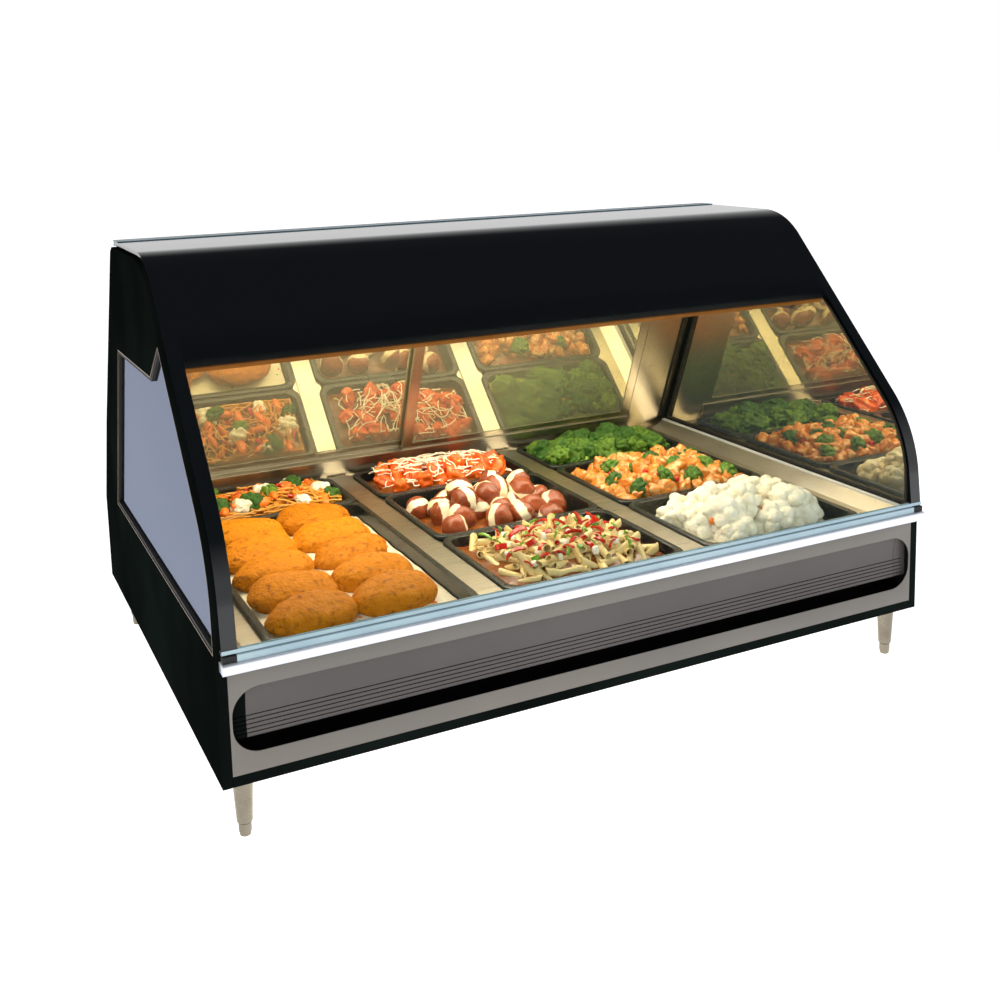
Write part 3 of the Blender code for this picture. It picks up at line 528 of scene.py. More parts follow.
def makeEnds():
    front = glassPath(ends["panelInset"], ends["steps"])
    rear, low, seam = case["rear"], case["floor"], 0.2708
    panel = [(rear, low), (rear, 0.2500), (0.3795, 0.4130), (0.1915, 0.7480), (0.1755, front[0][1])]
    panel += front[1:-1] + [(front[-1][0] - 0.0010, seam), (case["front"], seam), (case["front"], low)]
    edge = glassPath(ends["windowInset"], ends["steps"])
    foot = ends["steps"] + 2  # first point of the lower bend
    peak = crossing(ends["hoodCorner"], (-0.085, 0.065), edge[foot - 1], edge[foot])
    below = [point for point in edge[foot:] if point[1] > ends["sill"] + 0.02]
    window = [(0.3145, ends["sill"]), (0.1845, 0.580), ends["hoodCorner"], peak] + below
    window += [(below[-1][0] - 0.0015, ends["sill"])]
    for side, name in ((-1, "left"), (1, "right")):
        inner, outer = sorted((side * (case["inner"] + case["gap"]), side * case["half"]))
        addPiece(
            f"end_skin_{name}",
            outlineMesh([panel, window], inner, outer, alongX, edge=0.0008),
            "case",
            ["blackPowderCoat"],
            [f"end_panel_{name}"],
        )
        trim = [insetPath(window, 0.0001), insetPath(window, 0.0016)]
        low, high = sorted((side * (case["half"] - 0.0030), side * (case["half"] - 0.0002)))
        addPiece(f"window_trim_{name}", outlineMesh(trim, low, high, alongX), "case", ["bronzeTrim"])
        ring = [insetPath(window, 0.0018), insetPath(window, 0.0070)]
        low, high = sorted((side * 0.5965, side * 0.6080))
        addPiece(
            f"window_seal_{name}",
            outlineMesh(ring, low, high, alongX),
            "case",
            ["blackRubber"],
            [f"window_gasket_{name}"],
        )
        low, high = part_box(f"side_glass_{name}")
        # Each face takes one of the two painted reflection tints: outward faces the lavender one, the rest
        # the olive one.
        pane = outlineMesh([insetPath(window, 0.0073)], low.x, high.x, alongX)
        for face in pane.polygons:
            face.material_index = int(face.normal.x * side > 0.5)
        addPiece(
            f"side_pane_{name}",
            pane,
            "case",
            ["sidePaneInnerReflectionTint", "sidePaneOuterReflectionTint"],
            [f"side_glass_{name}"],
        )


makeEnds()
print("ends made")


# Front glass with its fired-on black border


def makeFrontGlass():
    outer, inner = glassPath(0, 28), glassPath(case["glassThick"], 28)
    pane = outlineMesh([outer + inner[::-1]], -case["glassHalf"], case["glassHalf"], alongX)
    addPiece("curved_glass", pane, "front_glass_lid", ["fritGlass"], ["front_glass"])


makeFrontGlass()
print("front glass made")


# Front rails: rounded aluminium nose over the fascia


def makeNose():
    low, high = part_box("bullnose_rail")
    frontRadius, rearRadius = 0.0028, 0.0006
    corners = [(high.y, low.z), (high.y, high.z), (low.y, high.z), (low.y, low.z)]
    outline = roundedPath(corners, (rearRadius, rearRadius, frontRadius, frontRadius), 10)
    nose = outlineMesh([outline], low.x, high.x, alongX, edge=0.0004)
    addPiece("front_nose", nose, "case", ["brightAnodised"], ["bullnose_rail"])


makeNose()


def makeFootSeals():
    # Blue-grey seal under the glass's lower edge, ending in black caps.
    cap, gap = 0.019, 0.0002
    low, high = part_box("glass_seat")
    strip = blockMesh((low.x + cap, low.y, low.z), (high.x - cap, high.y, high.z), 0.0005)
    addPiece("seat_strip", strip, "case", ["sealPvc"], ["glass_seat"])
    ends = []
    for a, b in ((low.x, low.x + cap - gap), (high.x - cap + gap, high.x)):
        ends.append(blockMesh((a, low.y, low.z), (b, high.y, high.z), 0.0005))
    addPiece("seat_caps", joinMeshes(ends), "case", ["blackRubber"])


makeFootSeals()

fascia = {"openHalf": 0.5915, "openLow": 0.133, "openHigh": 0.2245, "corner": 0.038, "edge": 0.0005}


def makeFascia():
    low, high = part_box("front_fascia")
    plate = [(low.x, low.z), (high.x, low.z), (high.x, high.z), (low.x, high.z)]
    x, bottom, top = fascia["openHalf"], fascia["openLow"], fascia["openHigh"]
    opening = roundedPath([(-x, bottom), (x, bottom), (x, top), (-x, top)], fascia["corner"], 14)
    sheetFace = outlineMesh([plate, opening], -high.y, -low.y, alongY, edge=fascia["edge"])
    addPiece("fascia_plate", sheetFace, "case", ["satinGreyPaint"], ["front_fascia"])


makeFascia()
print("front rails made")

# Food pans: moulded trays that lift out

pans = {
    "rim": 0.0115,
    "corner": 0.024,
    "taper": 0.009,
    "deep": 0.065,
    "wall": 0.0015,
    "lip": 0.006,
    "base": 0.010,
}


def makePan(node):
    low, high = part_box(node)
    centre, size = (low + high) / 2, high - low
    across, along = size.x / 2 - pans["rim"], size.y / 2 - pans["rim"]
    shape = bmesh.new()
    bmesh.ops.create_cube(shape, size=1.0, matrix=Matrix.Diagonal((2 * across, 2 * along, pans["deep"], 1)))
    bmesh.ops.translate(shape, verts=shape.verts, vec=(0, 0, -pans["deep"] / 2))
    for vert in shape.verts:
        if vert.co.z < -pans["deep"] / 2:
            vert.co.x -= math.copysign(pans["taper"], vert.co.x)
            vert.co.y -= math.copysign(pans["taper"], vert.co.y)
    upright = [e for e in shape.edges if abs(e.verts[0].co.z - e.verts[1].co.z) > 0.01]
    roundEdges(shape, upright, pans["corner"], 10)
    top = [f for f in shape.faces if f.calc_center_median().z > -0.001]
    bmesh.ops.delete(shape, geom=top, context="FACES")
    foot = [e for e in shape.edges if max(v.co.z for v in e.verts) < 0.001 - pans["deep"]]
    roundEdges(shape, foot, pans["base"], 5)
    # Rim: rolled root, flat land, rounded edge, short lip.
    steps = [(0.0010, 0.0006), (0.0086, 0.0), (0.0008, -0.0003), (0.0006, -0.0009)]
    for out, rise in steps + [(0.0002, 0.0012 - pans["lip"])]:
        rim = bmesh.ops.extrude_edge_only(shape, edges=[e for e in shape.edges if e.is_boundary])["geom"]
        for vert in (item for item in rim if isinstance(item, bmesh.types.BMVert)):
            vert.co.x += math.copysign(out, vert.co.x)
            vert.co.y += math.copysign(out, vert.co.y)
            vert.co.z += rise
    bmesh.ops.recalc_face_normals(shape, faces=shape.faces)
    if min(shape.faces, key=lambda f: f.calc_center_median().z).normal.z > 0:
        bmesh.ops.reverse_faces(shape, faces=shape.faces)
    bmesh.ops.solidify(shape, geom=shape.faces[:], thickness=-pans["wall"])
    bmesh.ops.recalc_face_normals(shape, faces=shape.faces)
    highest = max(v.co.z for v in shape.verts)
    bmesh.ops.translate(shape, verts=shape.verts, vec=(centre.x, centre.y, high.z - highest))
    mesh = finishMesh(shape, "pan")
    name = node.replace("pan_", "tray_")
    addPiece(name, mesh, node + "_lift", ["blackPolycarbonate"], [node], sharp=40)


for node in sorted(n for n in nodes if n.startswith("pan_")):
    makePan(node)
print("pans made")


# Food: each pan's heap is joined from a few small shapes, each copy with its own tone


def makeFoodSkin(name, look):
    # Each piece's own tone and a fine mottling move the colour between look's two; patch adds a third,
    # in spots or, with band, round the middle of each piece.
    material, tree, shader, _ = newMaterial(name)
    setShader(shader, look.get("shader", {}))
    tone = addNode(tree, "Attribute", {"attribute_name": "tone"}).outputs["Fac"]
    place = addNode(tree, "TexCoord").outputs["Object"]
    mottle = noiseNode(tree, place, look["mottleMm"], 5.0)
    share = rangeNode(tree, mathNode(tree, "ADD", tone, mottle), 0.45, 1.15)
    colour = blendNode(tree, share, *look["colours"])
    if "patch" in look:
        edge = noiseNode(tree, place, look["patchMm"], 3.0)
        if "band" in look:
            own = addNode(tree, "Attribute", {"attribute_name": "local"}).outputs["Vector"]
            height = addNode(tree, "SeparateXYZ", {}, {0: own}).outputs["Z"]
            edge = mathNode(tree, "MULTIPLY", edge, look["band"])
            edge = mathNode(tree, "SUBTRACT", edge, mathNode(tree, "ABSOLUTE", height))
        mask = rangeNode(tree, edge, *look["patchEdge"])
        tint = addNode(tree, "Mix", {"data_type": "RGBA", 7: look["patch"]}, {0: mask, 6: colour})
        colour = tint.outputs[2]
    rough = rangeNode(tree, mottle, 0.35, 0.65, *look["roughness"])
    grain = noiseNode(tree, place, look["grainMm"], 6.0)
    relief = bumpNode(tree, grain, look["bump"], look["depthMm"])
    linkShader(tree, shader, {"Base Color": colour, "Roughness": rough, "Normal": relief})
    return material


foodSkins = {
    # Fried breadcrumb coat: golden, dry and crusty, browner where the crumbs stand up.
    "breadCrust": {
        "colours": ("#CE7C08", "#9C5204"), "mottleMm": 12, "grainMm": 4.5, "bump": 1.0, "depthMm": 4.0,
        "roughness": (0.34, 0.60), "patch": "#6E3404", "patchMm": 9, "patchEdge": (0.54, 0.80),
        "shader": {"Specular IOR Level": 0.15},
    },
    # Steamed rice: warm white, slightly glossy grains.
    "riceGrain": {
        "colours": ("#EDE4CC", "#C9BA94"), "mottleMm": 5, "grainMm": 2, "bump": 0.2, "depthMm": 0.3,
        "roughness": (0.35, 0.5),
        "shader": {"Subsurface Weight": 0.15, "Subsurface Radius": (0.004, 0.003, 0.002)},
    },
    # Cooked pasta: pale straw, damp sheen.
    "pastaDough": {
        "colours": ("#E9CF90", "#C99C50"), "mottleMm": 8, "grainMm": 1.5, "bump": 0.12, "depthMm": 0.3,
        "roughness": (0.25, 0.42),
        "shader": {"Subsurface Weight": 0.1, "Subsurface Radius": (0.004, 0.003, 0.002)},
    },
    # Noodles in sauce: orange straw, oily.
    "saucedNoodle": {
        "colours": ("#DE9A3C", "#B8651C"), "mottleMm": 12, "grainMm": 1.5, "bump": 0.1, "depthMm": 0.2,
        "roughness": (0.2, 0.35),
    },
    # Shredded white cheese and sprouts: creamy and matt.
    "whiteShred": {
        "colours": ("#FBF2DC", "#EBD9B4"), "mottleMm": 8, "grainMm": 1.5, "bump": 0.1, "depthMm": 0.2,
        "roughness": (0.4, 0.55),
    },
    # Red-skinned potato, peeled in a band: white flesh between brown-red skin, buttery gloss.
    "potatoSkin": {
        "colours": ("#8A4020", "#5E2412"), "mottleMm": 14, "grainMm": 6, "bump": 0.25, "depthMm": 0.6,
        "roughness": (0.22, 0.38), "patch": "#F0DDB8", "patchMm": 22, "band": 0.52,
        "patchEdge": (-0.02, 0.04),
    },
    # Cauliflower curd: ivory, matt and very finely knobbled.
    "cauliflowerCurd": {
        "colours": ("#F6EFDC", "#DECFA8"), "mottleMm": 14, "grainMm": 3.0, "bump": 1.0, "depthMm": 2.4,
        "roughness": (0.6, 0.75),
        "shader": {"Subsurface Weight": 0.2, "Subsurface Radius": (0.006, 0.005, 0.003)},
    },
    # Broccoli heads: mid to yellow green, beaded with tiny buds.
    "broccoliBud": {
        "colours": ("#2E5A12", "#86A82C"), "mottleMm": 8, "grainMm": 2.6, "bump": 1.0, "depthMm": 3.0,
        "roughness": (0.5, 0.7), "patch": "#24480E", "patchMm": 6, "patchEdge": (0.52, 0.66),
    },
    # Broccoli stalk: pale smooth green.
    "stalkGreen": {
        "colours": ("#A9C25A", "#8DAC43"), "mottleMm": 10, "grainMm": 3, "bump": 0.2, "depthMm": 0.3,
        "roughness": (0.35, 0.5),
    },
    # Glazed chicken pieces: orange brown with darker seared patches.
    "glazedChicken": {
        "colours": ("#C8782A", "#8A4612"), "mottleMm": 12, "grainMm": 3.5, "bump": 0.5, "depthMm": 1.2,
        "roughness": (0.18, 0.36), "patch": "#E2BC80", "patchMm": 12, "patchEdge": (0.50, 0.68),
    },
    # Wings in red-orange sauce: wet and deep coloured.
    "saucedWing": {
        "colours": ("#E2601A", "#B53C0E"), "mottleMm": 12, "grainMm": 3.5, "bump": 0.4, "depthMm": 0.9,
        "roughness": (0.12, 0.28), "patch": "#F0A050", "patchMm": 14, "patchEdge": (0.58, 0.72),
    },
    # Cooked carrot: bright orange, moist.
    "cookedCarrot": {
        "colours": ("#EE7A22", "#D95F14"), "mottleMm": 10, "grainMm": 3, "bump": 0.15, "depthMm": 0.3,
        "roughness": (0.22, 0.36),
    },
    # Red pepper skin: glossy and deep.
    "redPepper": {
        "colours": ("#C4281A", "#96150E"), "mottleMm": 10, "grainMm": 4, "bump": 0.1, "depthMm": 0.2,
        "roughness": (0.12, 0.25),
    },
    # Green pepper, peas and herbs: fresh mid green.
    "greenPepper": {
        "colours": ("#6E9A2C", "#3F7A1E"), "mottleMm": 10, "grainMm": 4, "bump": 0.1, "depthMm": 0.2,
        "roughness": (0.2, 0.35),
    },
    # Sauce between the pieces: dark, thin and oily.
    "panSauce": {
        "colours": ("#8A4A16", "#5E2E0C"), "mottleMm": 22, "grainMm": 6, "bump": 0.4, "depthMm": 1.0,
        "roughness": (0.15, 0.35),
    },
}
for name, look in foodSkins.items():
    finish[name] = makeFoodSkin(name, look)
print("food finishes ready:", len(foodSkins))


def lumpy(direction, lumps, size, height):
    # Height of the round buds over a direction: the highest of those near it.
    rise = 0.0
    for lump in lumps:
        away = (direction - lump).length
        if away < size:
            rise = max(rise, height * math.sqrt(1 - (away / size) ** 2))
    return rise


def spreadDirections(count, low, draw):
    # Directions evenly over the upper part of a ball, down to height low, each moved a little.
    found = []
    for i in range(count):
        z = 1 - (1 - low) * (i + 0.5) / count
        turn = i * 2.399963  # golden angle
        flat = math.sqrt(max(0.0, 1 - z * z))
        point = Vector((flat * math.cos(turn), flat * math.sin(turn), z))
        found.append((point + Vector([draw.uniform(-0.1, 0.1) for _ in range(3)])).normalized())
    return found


def unitMesh(name, makeShape):
    shape = bmesh.new()
    own = shape.verts.layers.float_vector.new("local")
    shape.verts.layers.float.new("tone")
    makeShape(shape)
    bmesh.ops.recalc_face_normals(shape, faces=shape.faces)
    reach = max(v.co.length for v in shape.verts)
    for vert in shape.verts:
        vert[own] = vert.co / reach
    return finishMesh(shape, name)


def blobUnit(size, detail, rough, lumps=0, lumpSize=0.5, lumpHeight=0.2, seed=1, square=0.0, crumbs=0.0):
    # A ball drawn out to size, with broad dents, and either round buds or fine crumbs on it.
    draw = random.Random(seed)
    buds = spreadDirections(lumps, -0.35, draw) if lumps else []
    shift = Vector([draw.uniform(-20, 20) for _ in range(3)])

    def build(shape):
        bmesh.ops.create_icosphere(shape, subdivisions=detail, radius=1.0)
        for vert in shape.verts:
            way = vert.co.normalized()
            flat = max(abs(c) for c in way)
            grow = 1 + square * (1 / flat - 1) + rough * noise.noise(way * 1.6 + shift)
            if buds:
                grow += lumpy(way, buds, lumpSize, lumpHeight) + 0.05 * noise.noise(way * 9 + shift)
            if crumbs:
                grow += crumbs * noise.noise(way * 11 + shift) + crumbs * 0.7 * noise.noise(way * 24 + shift)
            vert.co = Vector((way.x * size[0], way.y * size[1], way.z * size[2])) * grow

    return unitMesh("blob", build)


def tubeUnit(radius, length, wall, sides=12, slant=0.6):
    # Penne: an open tube with slanted ends.
    def build(shape):
        bmesh.ops.create_cone(
            shape, cap_ends=False, segments=sides, radius1=radius, radius2=radius, depth=length
        )
        for vert in shape.verts:
            vert.co.z += vert.co.x * slant
        turnShape(shape, math.pi / 2, "Y")
        bmesh.ops.recalc_face_normals(shape, faces=shape.faces)
        bmesh.ops.solidify(shape, geom=shape.faces[:], thickness=wall)

    return unitMesh("tube", build)


def stripUnit(length, width, thick, bend):
    # A strip of pepper: a bar, curled along its length.
    def build(shape):
        bmesh.ops.create_cube(shape, size=1.0, matrix=Matrix.Diagonal((length, width, thick, 1)))
        long = [e for e in shape.edges if abs(e.verts[0].co.x - e.verts[1].co.x) > length / 2]
        bmesh.ops.subdivide_edges(shape, edges=long, cuts=5, use_grid_fill=True)
        for vert in shape.verts:
            vert.co.z += bend * (1 - (2 * vert.co.x / length) ** 2)

    return unitMesh("strip", build)


def treeUnit(head, seed, lumps, detail=4):
    # A floret's budded head; its stalk is a shape of its own.
    crown = blobUnit((head, head, head * 0.72), detail, 0.25, lumps, 0.36, 0.42, seed)
    crown.transform(Matrix.Translation((0, 0, head * 0.35)))
    return crown


def stalkUnit(radius, length):
    def build(shape):
        bmesh.ops.create_cone(
            shape, cap_ends=True, segments=9, radius1=radius * 0.85, radius2=radius * 1.35, depth=length
        )

    return unitMesh("stalk", build)


def heapRise(u, v, rise):
    return rise * (1 - abs(u) ** 2.6) * (1 - abs(v) ** 2.6)


class Heap:
    # One pan's food as a single mesh. fillTop is the level at the walls, rise the extra height in the middle.
    def __init__(self, node, fillTop, rise, seed):
        low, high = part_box(node)
        self.node = node
        self.centre = (low + high) / 2
        self.half = ((high.x - low.x) / 2 - 0.016, (high.y - low.y) / 2 - 0.016)
        self.level = high.z + fillTop
        self.rise = rise
        self.draw = random.Random(seed)
        self.shape = bmesh.new()
        self.shape.verts.layers.float_vector.new("local")
        self.tone = self.shape.verts.layers.float.new("tone")
        self.materials = []

    def surface(self, x, y):
        u, v = (x - self.centre.x) / self.half[0], (y - self.centre.y) / self.half[1]
        return self.level + heapRise(max(-1, min(1, u)), max(-1, min(1, v)), self.rise)

    def slotOf(self, material):
        if material not in self.materials:
            self.materials.append(material)
        return self.materials.index(material)

    def put(self, unit, material, place, turn=(0, 0, 0), size=1.0):
        index = self.slotOf(material)
        copy = unit.copy()
        turned = Matrix.Rotation(turn[2], 4, "Z") @ Matrix.Rotation(turn[1], 4, "Y")
        turned = turned @ Matrix.Rotation(turn[0], 4, "X")
        copy.transform(Matrix.Translation(place) @ turned @ Matrix.Scale(size, 4))
        shade = self.draw.uniform(-0.25, 0.25)
        copy.attributes["tone"].data.foreach_set("value", [shade] * len(copy.vertices))
        copy.polygons.foreach_set("material_index", [index] * len(copy.polygons))
        self.shape.from_mesh(copy)
        bpy.data.meshes.remove(copy)

    def spots(self, count, margin, tries=14):
        # Places spread over the pan, each the best of a few draws, so that they don't bunch.
        found = []
        for _ in range(count):
            best, room = None, -1.0
            for _ in range(tries):
                x = self.centre.x + self.draw.uniform(-1, 1) * (self.half[0] - margin)
                y = self.centre.y + self.draw.uniform(-1, 1) * (self.half[1] - margin)
                near = min(((x - a) ** 2 + (y - b) ** 2 for a, b in found), default=9.0)
                if near > room:
                    best, room = (x, y), near
            found.append(best)
        return found

    def scatter(self, units, material, count, margin, lift, sizes=(0.85, 1.15), lean=0.4, tries=14):
        for x, y in self.spots(count, margin, tries):
            turn = (self.draw.gauss(0, lean), self.draw.gauss(0, lean), self.draw.uniform(0, 2 * math.pi))
            unit = self.draw.choice(units)
            self.put(unit, material, (x, y, self.surface(x, y) + lift), turn, self.draw.uniform(*sizes))

    def bed(self, material, drop):
        # A rippled layer that fills the pan under the pieces.
        def build(shape):
            bmesh.ops.create_grid(shape, x_segments=24, y_segments=24, size=1.0)
            for vert in shape.verts:
                x = self.centre.x + vert.co.x * (self.half[0] - 0.001)
                y = self.centre.y + vert.co.y * (self.half[1] - 0.001)
                ripple = 0.004 * noise.noise(Vector((x * 40, y * 40, 3)))
                vert.co = Vector((x, y, self.surface(x, y) - drop + ripple))
            bmesh.ops.solidify(shape, geom=shape.faces[:], thickness=-0.012)

        unit = unitMesh("bed", build)
        self.put(unit, material, (0, 0, 0))

    def strands(self, material, count, length, radius, lift, margin=0.02, wave=0.5):
        # Long thin pieces: loose curves laid over the heap, made a tube.
        index = self.slotOf(material)
        curve = bpy.data.curves.new("strands", "CURVE")
        curve.dimensions = "3D"
        curve.bevel_depth = radius
        curve.bevel_resolution = 1
        curve.use_fill_caps = True
        reachX, reachY = (half - margin / 2 for half in self.half)
        for x, y in self.spots(count, margin, 6):
            heading = self.draw.uniform(0, 2 * math.pi)
            spline = curve.splines.new("POLY")
            steps = 11
            spline.points.add(steps)
            own = self.draw.uniform(-0.3, 1.0) * lift
            for i in range(steps + 1):
                heading += self.draw.gauss(0, wave)
                x += math.cos(heading) * length / steps
                y += math.sin(heading) * length / steps
                x = min(max(x, self.centre.x - reachX), self.centre.x + reachX)
                y = min(max(y, self.centre.y - reachY), self.centre.y + reachY)
                z = self.surface(x, y) + own + 0.006 * noise.noise(Vector((x * 60, y * 60, own * 900)))
                spline.points[i].co = (x, y, z, 1)
        holder = bpy.data.objects.new("strands", curve)
        bpy.context.scene.collection.objects.link(holder)
        bpy.context.view_layer.update()
        mesh = bpy.data.meshes.new_from_object(holder.evaluated_get(bpy.context.evaluated_depsgraph_get()))
        bpy.data.objects.remove(holder)
        weld(mesh, 0.00002)
        mesh.attributes.new("local", "FLOAT_VECTOR", "POINT")
        mesh.attributes.new("tone", "FLOAT", "POINT")
        mesh.polygons.foreach_set("material_index", [index] * len(mesh.polygons))
        self.shape.from_mesh(mesh)
        bpy.data.meshes.remove(mesh)

    def serve(self, name):
        mesh = finishMesh(self.shape, name)
        addPiece(name, mesh, self.node + "_lift", self.materials, sharp=60)
        print(name, len(mesh.polygons), "faces")


cauliflowerHeads = [
    blobUnit((0.030, 0.028, 0.023), 5, 0.22, 15, 0.44, 0.34, seed) for seed in (3, 4, 5, 6)
]
broccoliHeads = [treeUnit(0.019, seed, 24) for seed in (11, 12, 13, 14)]
broccoliStalk = stalkUnit(0.0055, 0.030)
chickenChunks = [
    blobUnit((0.020, 0.015, 0.012), 3, 0.45, seed=seed, square=0.25) for seed in (21, 22, 23, 24)
]
potatoes = [blobUnit((0.027, 0.024, 0.023), 4, 0.12, seed=seed) for seed in (31, 32, 33)]
cutlets = [
    blobUnit((0.067, 0.041, 0.025), 5, 0.09, seed=seed, square=0.08, crumbs=0.030) for seed in (41, 42, 43)
]
riceGrains = [blobUnit((0.0036, 0.0013, 0.0012), 1, 0.0, seed=51)]
peas = [blobUnit((0.0040, 0.0038, 0.0036), 2, 0.1, seed=52)]
dices = [blobUnit((0.0058, 0.0050, 0.0046), 2, 0.1, seed=seed, square=0.6) for seed in (53, 54)]
penne = [tubeUnit(0.0062, 0.046, 0.0013), tubeUnit(0.0058, 0.040, 0.0013)]
pepperStrips = [stripUnit(0.030, 0.006, 0.0028, 0.006), stripUnit(0.018, 0.008, 0.0028, 0.003)]
carrotSticks = [blobUnit((0.020, 0.0085, 0.0082), 3, 0.08, seed=seed) for seed in (61, 62)]
wings = [blobUnit((0.028, 0.018, 0.016), 4, 0.4, seed=seed) for seed in (71, 72, 73)]
print("food shapes ready")


def serveCutlets():
    heap = Heap("pan_left_full", -0.027, 0.010, 101)
    heap.bed("riceGrain", 0.006)
    heap.scatter(riceGrains, "riceGrain", 2200, 0.004, -0.003, (0.8, 1.25), 0.5, 2)
    heap.scatter(peas, "greenPepper", 60, 0.006, 0.001, (1.0, 1.4))
    heap.scatter(dices, "cookedCarrot", 90, 0.006, 0.001, (0.7, 1.2), 0.8)
    heap.scatter(dices, "redPepper", 50, 0.006, 0.001, (0.6, 1.1), 0.8)
    rows, pitch = 5, 0.096
    for column in (-1, 1):
        for row in range(rows):
            x = heap.centre.x - 0.012 + column * 0.066 + heap.draw.uniform(-0.006, 0.006)
            y = heap.centre.y + (row - (rows - 1) / 2) * pitch + heap.draw.uniform(-0.006, 0.006)
            y += column * 0.006
            lean, tip = 0.26 + heap.draw.uniform(-0.06, 0.06), heap.draw.uniform(-0.08, 0.08)
            turn = (lean, tip, heap.draw.uniform(-0.2, 0.25))
            unit = heap.draw.choice(cutlets)
            heap.put(unit, "breadCrust", (x, y, heap.level + 0.024), turn, heap.draw.uniform(0.95, 1.05))
    heap.serve("breaded_cutlets_on_rice")


def serveVegetables():
    heap = Heap("pan_left_third", -0.016, 0.020, 102)
    heap.bed("panSauce", 0.012)
    heap.strands("saucedNoodle", 110, 0.16, 0.0017, 0.014)
    heap.scatter(carrotSticks, "cookedCarrot", 26, 0.020, 0.010, (0.7, 1.15), 0.4)
    heap.scatter(broccoliHeads, "broccoliBud", 6, 0.022, 0.008, (0.65, 0.9), 0.6)
    heap.scatter(cauliflowerHeads, "cauliflowerCurd", 6, 0.022, 0.006, (0.45, 0.65), 0.6)
    heap.scatter(pepperStrips, "redPepper", 10, 0.02, 0.012, (0.6, 1.0), 0.6)
    heap.strands("saucedNoodle", 26, 0.12, 0.0016, 0.022)
    heap.serve("vegetable_noodles")


def serveWings():
    heap = Heap("pan_centre_third", -0.016, 0.022, 103)
    heap.bed("panSauce", 0.014)
    heap.scatter(wings, "saucedWing", 22, 0.024, 0.004, (0.8, 1.1), 0.6)
    heap.strands("whiteShred", 120, 0.085, 0.0012, 0.030, 0.03, 0.3)
    heap.serve("sauced_wings_with_shreds")


def servePotatoes():
    heap = Heap("pan_centre_middle", -0.024, 0.018, 104)
    heap.bed("panSauce", 0.022)
    heap.scatter(potatoes, "potatoSkin", 22, 0.028, 0.000, (0.9, 1.08), 1.2)
    heap.scatter(potatoes, "potatoSkin", 7, 0.070, 0.024, (0.9, 1.05), 1.2)
    heap.scatter(peas, "greenPepper", 40, 0.03, 0.014, (0.2, 0.35), 1.0)
    heap.serve("banded_potatoes")


def servePenne():
    heap = Heap("pan_centre_front", -0.016, 0.020, 105)
    heap.bed("panSauce", 0.012)
    heap.scatter(penne, "pastaDough", 100, 0.026, -0.002, (0.9, 1.1), 0.35)
    heap.scatter(penne, "pastaDough", 66, 0.045, 0.010, (0.9, 1.1), 0.40)
    heap.scatter(pepperStrips, "redPepper", 40, 0.04, 0.018, (0.7, 1.2), 0.5)
    heap.scatter(pepperStrips, "greenPepper", 30, 0.04, 0.018, (0.6, 1.0), 0.5)
    heap.scatter(dices, "cauliflowerCurd", 20, 0.04, 0.014, (0.8, 1.3), 0.8)
    heap.serve("penne_with_peppers")


def serveBroccoli(name, node, seed, count, extra):
    heap = Heap(node, -0.014, 0.020, seed)
    heap.bed("stalkGreen", 0.020)
    for x, y in heap.spots(count, 0.020):
        z = heap.surface(x, y)
        turn = (heap.draw.gauss(0, 0.5), heap.draw.gauss(0, 0.5), heap.draw.uniform(0, 6.28))
        size = heap.draw.uniform(0.7, 1.15)
        z += heap.draw.uniform(-0.007, 0.007)
        heap.put(broccoliStalk, "stalkGreen", (x, y, z - 0.006), turn, size)
        heap.put(heap.draw.choice(broccoliHeads), "broccoliBud", (x, y, z), turn, size)
    heap.scatter(carrotSticks, "cookedCarrot", extra, 0.05, 0.012, (0.3, 0.4), 0.8)
    heap.serve(name)


def serveChicken():
    heap = Heap("pan_right_middle", -0.018, 0.018, 107)
    heap.bed("panSauce", 0.012)
    heap.scatter(chickenChunks, "glazedChicken", 90, 0.018, 0.002, (0.85, 1.25), 0.8)
    heap.scatter(chickenChunks, "glazedChicken", 34, 0.045, 0.014, (0.85, 1.25), 0.8)
    heap.scatter(broccoliHeads, "broccoliBud", 14, 0.03, 0.012, (0.7, 0.95), 0.6)
    heap.scatter(dices, "redPepper", 16, 0.03, 0.016, (0.7, 1.1), 0.8)
    heap.serve("chicken_and_broccoli")


def serveCauliflower():
    heap = Heap("pan_right_front", -0.018, 0.014, 108)
    heap.bed("cauliflowerCurd", 0.026)
    heap.scatter(cauliflowerHeads, "cauliflowerCurd", 17, 0.036, 0.000, (0.85, 1.15), 0.45)
    heap.scatter(cauliflowerHeads, "cauliflowerCurd", 6, 0.070, 0.020, (0.95, 1.15), 0.45)
    heap.scatter(dices, "cookedCarrot", 16, 0.04, 0.020, (0.8, 1.1), 0.8)
    heap.serve("cauliflower_florets")


serveCutlets()
serveVegetables()
serveWings()
servePotatoes()
servePenne()
serveBroccoli("broccoli_florets", "pan_right_third", 106, 44, 4)
serveChicken()
serveCauliflower()
print("food served")

# Air intake in the fascia: a curved grey insert with five grooves over a slot painted near-black as painted
# shade

louvre = {
    "grooves": 5,
    "top": 0.180,
    "pitch": 0.006,
    "high": 0.0017,
    "deep": 0.0026,
    "seamLeft": -0.571,
    "seamRight": 0.568,
    "groovesEnd": 0.5855,
    "sheet": 0.0009,
}


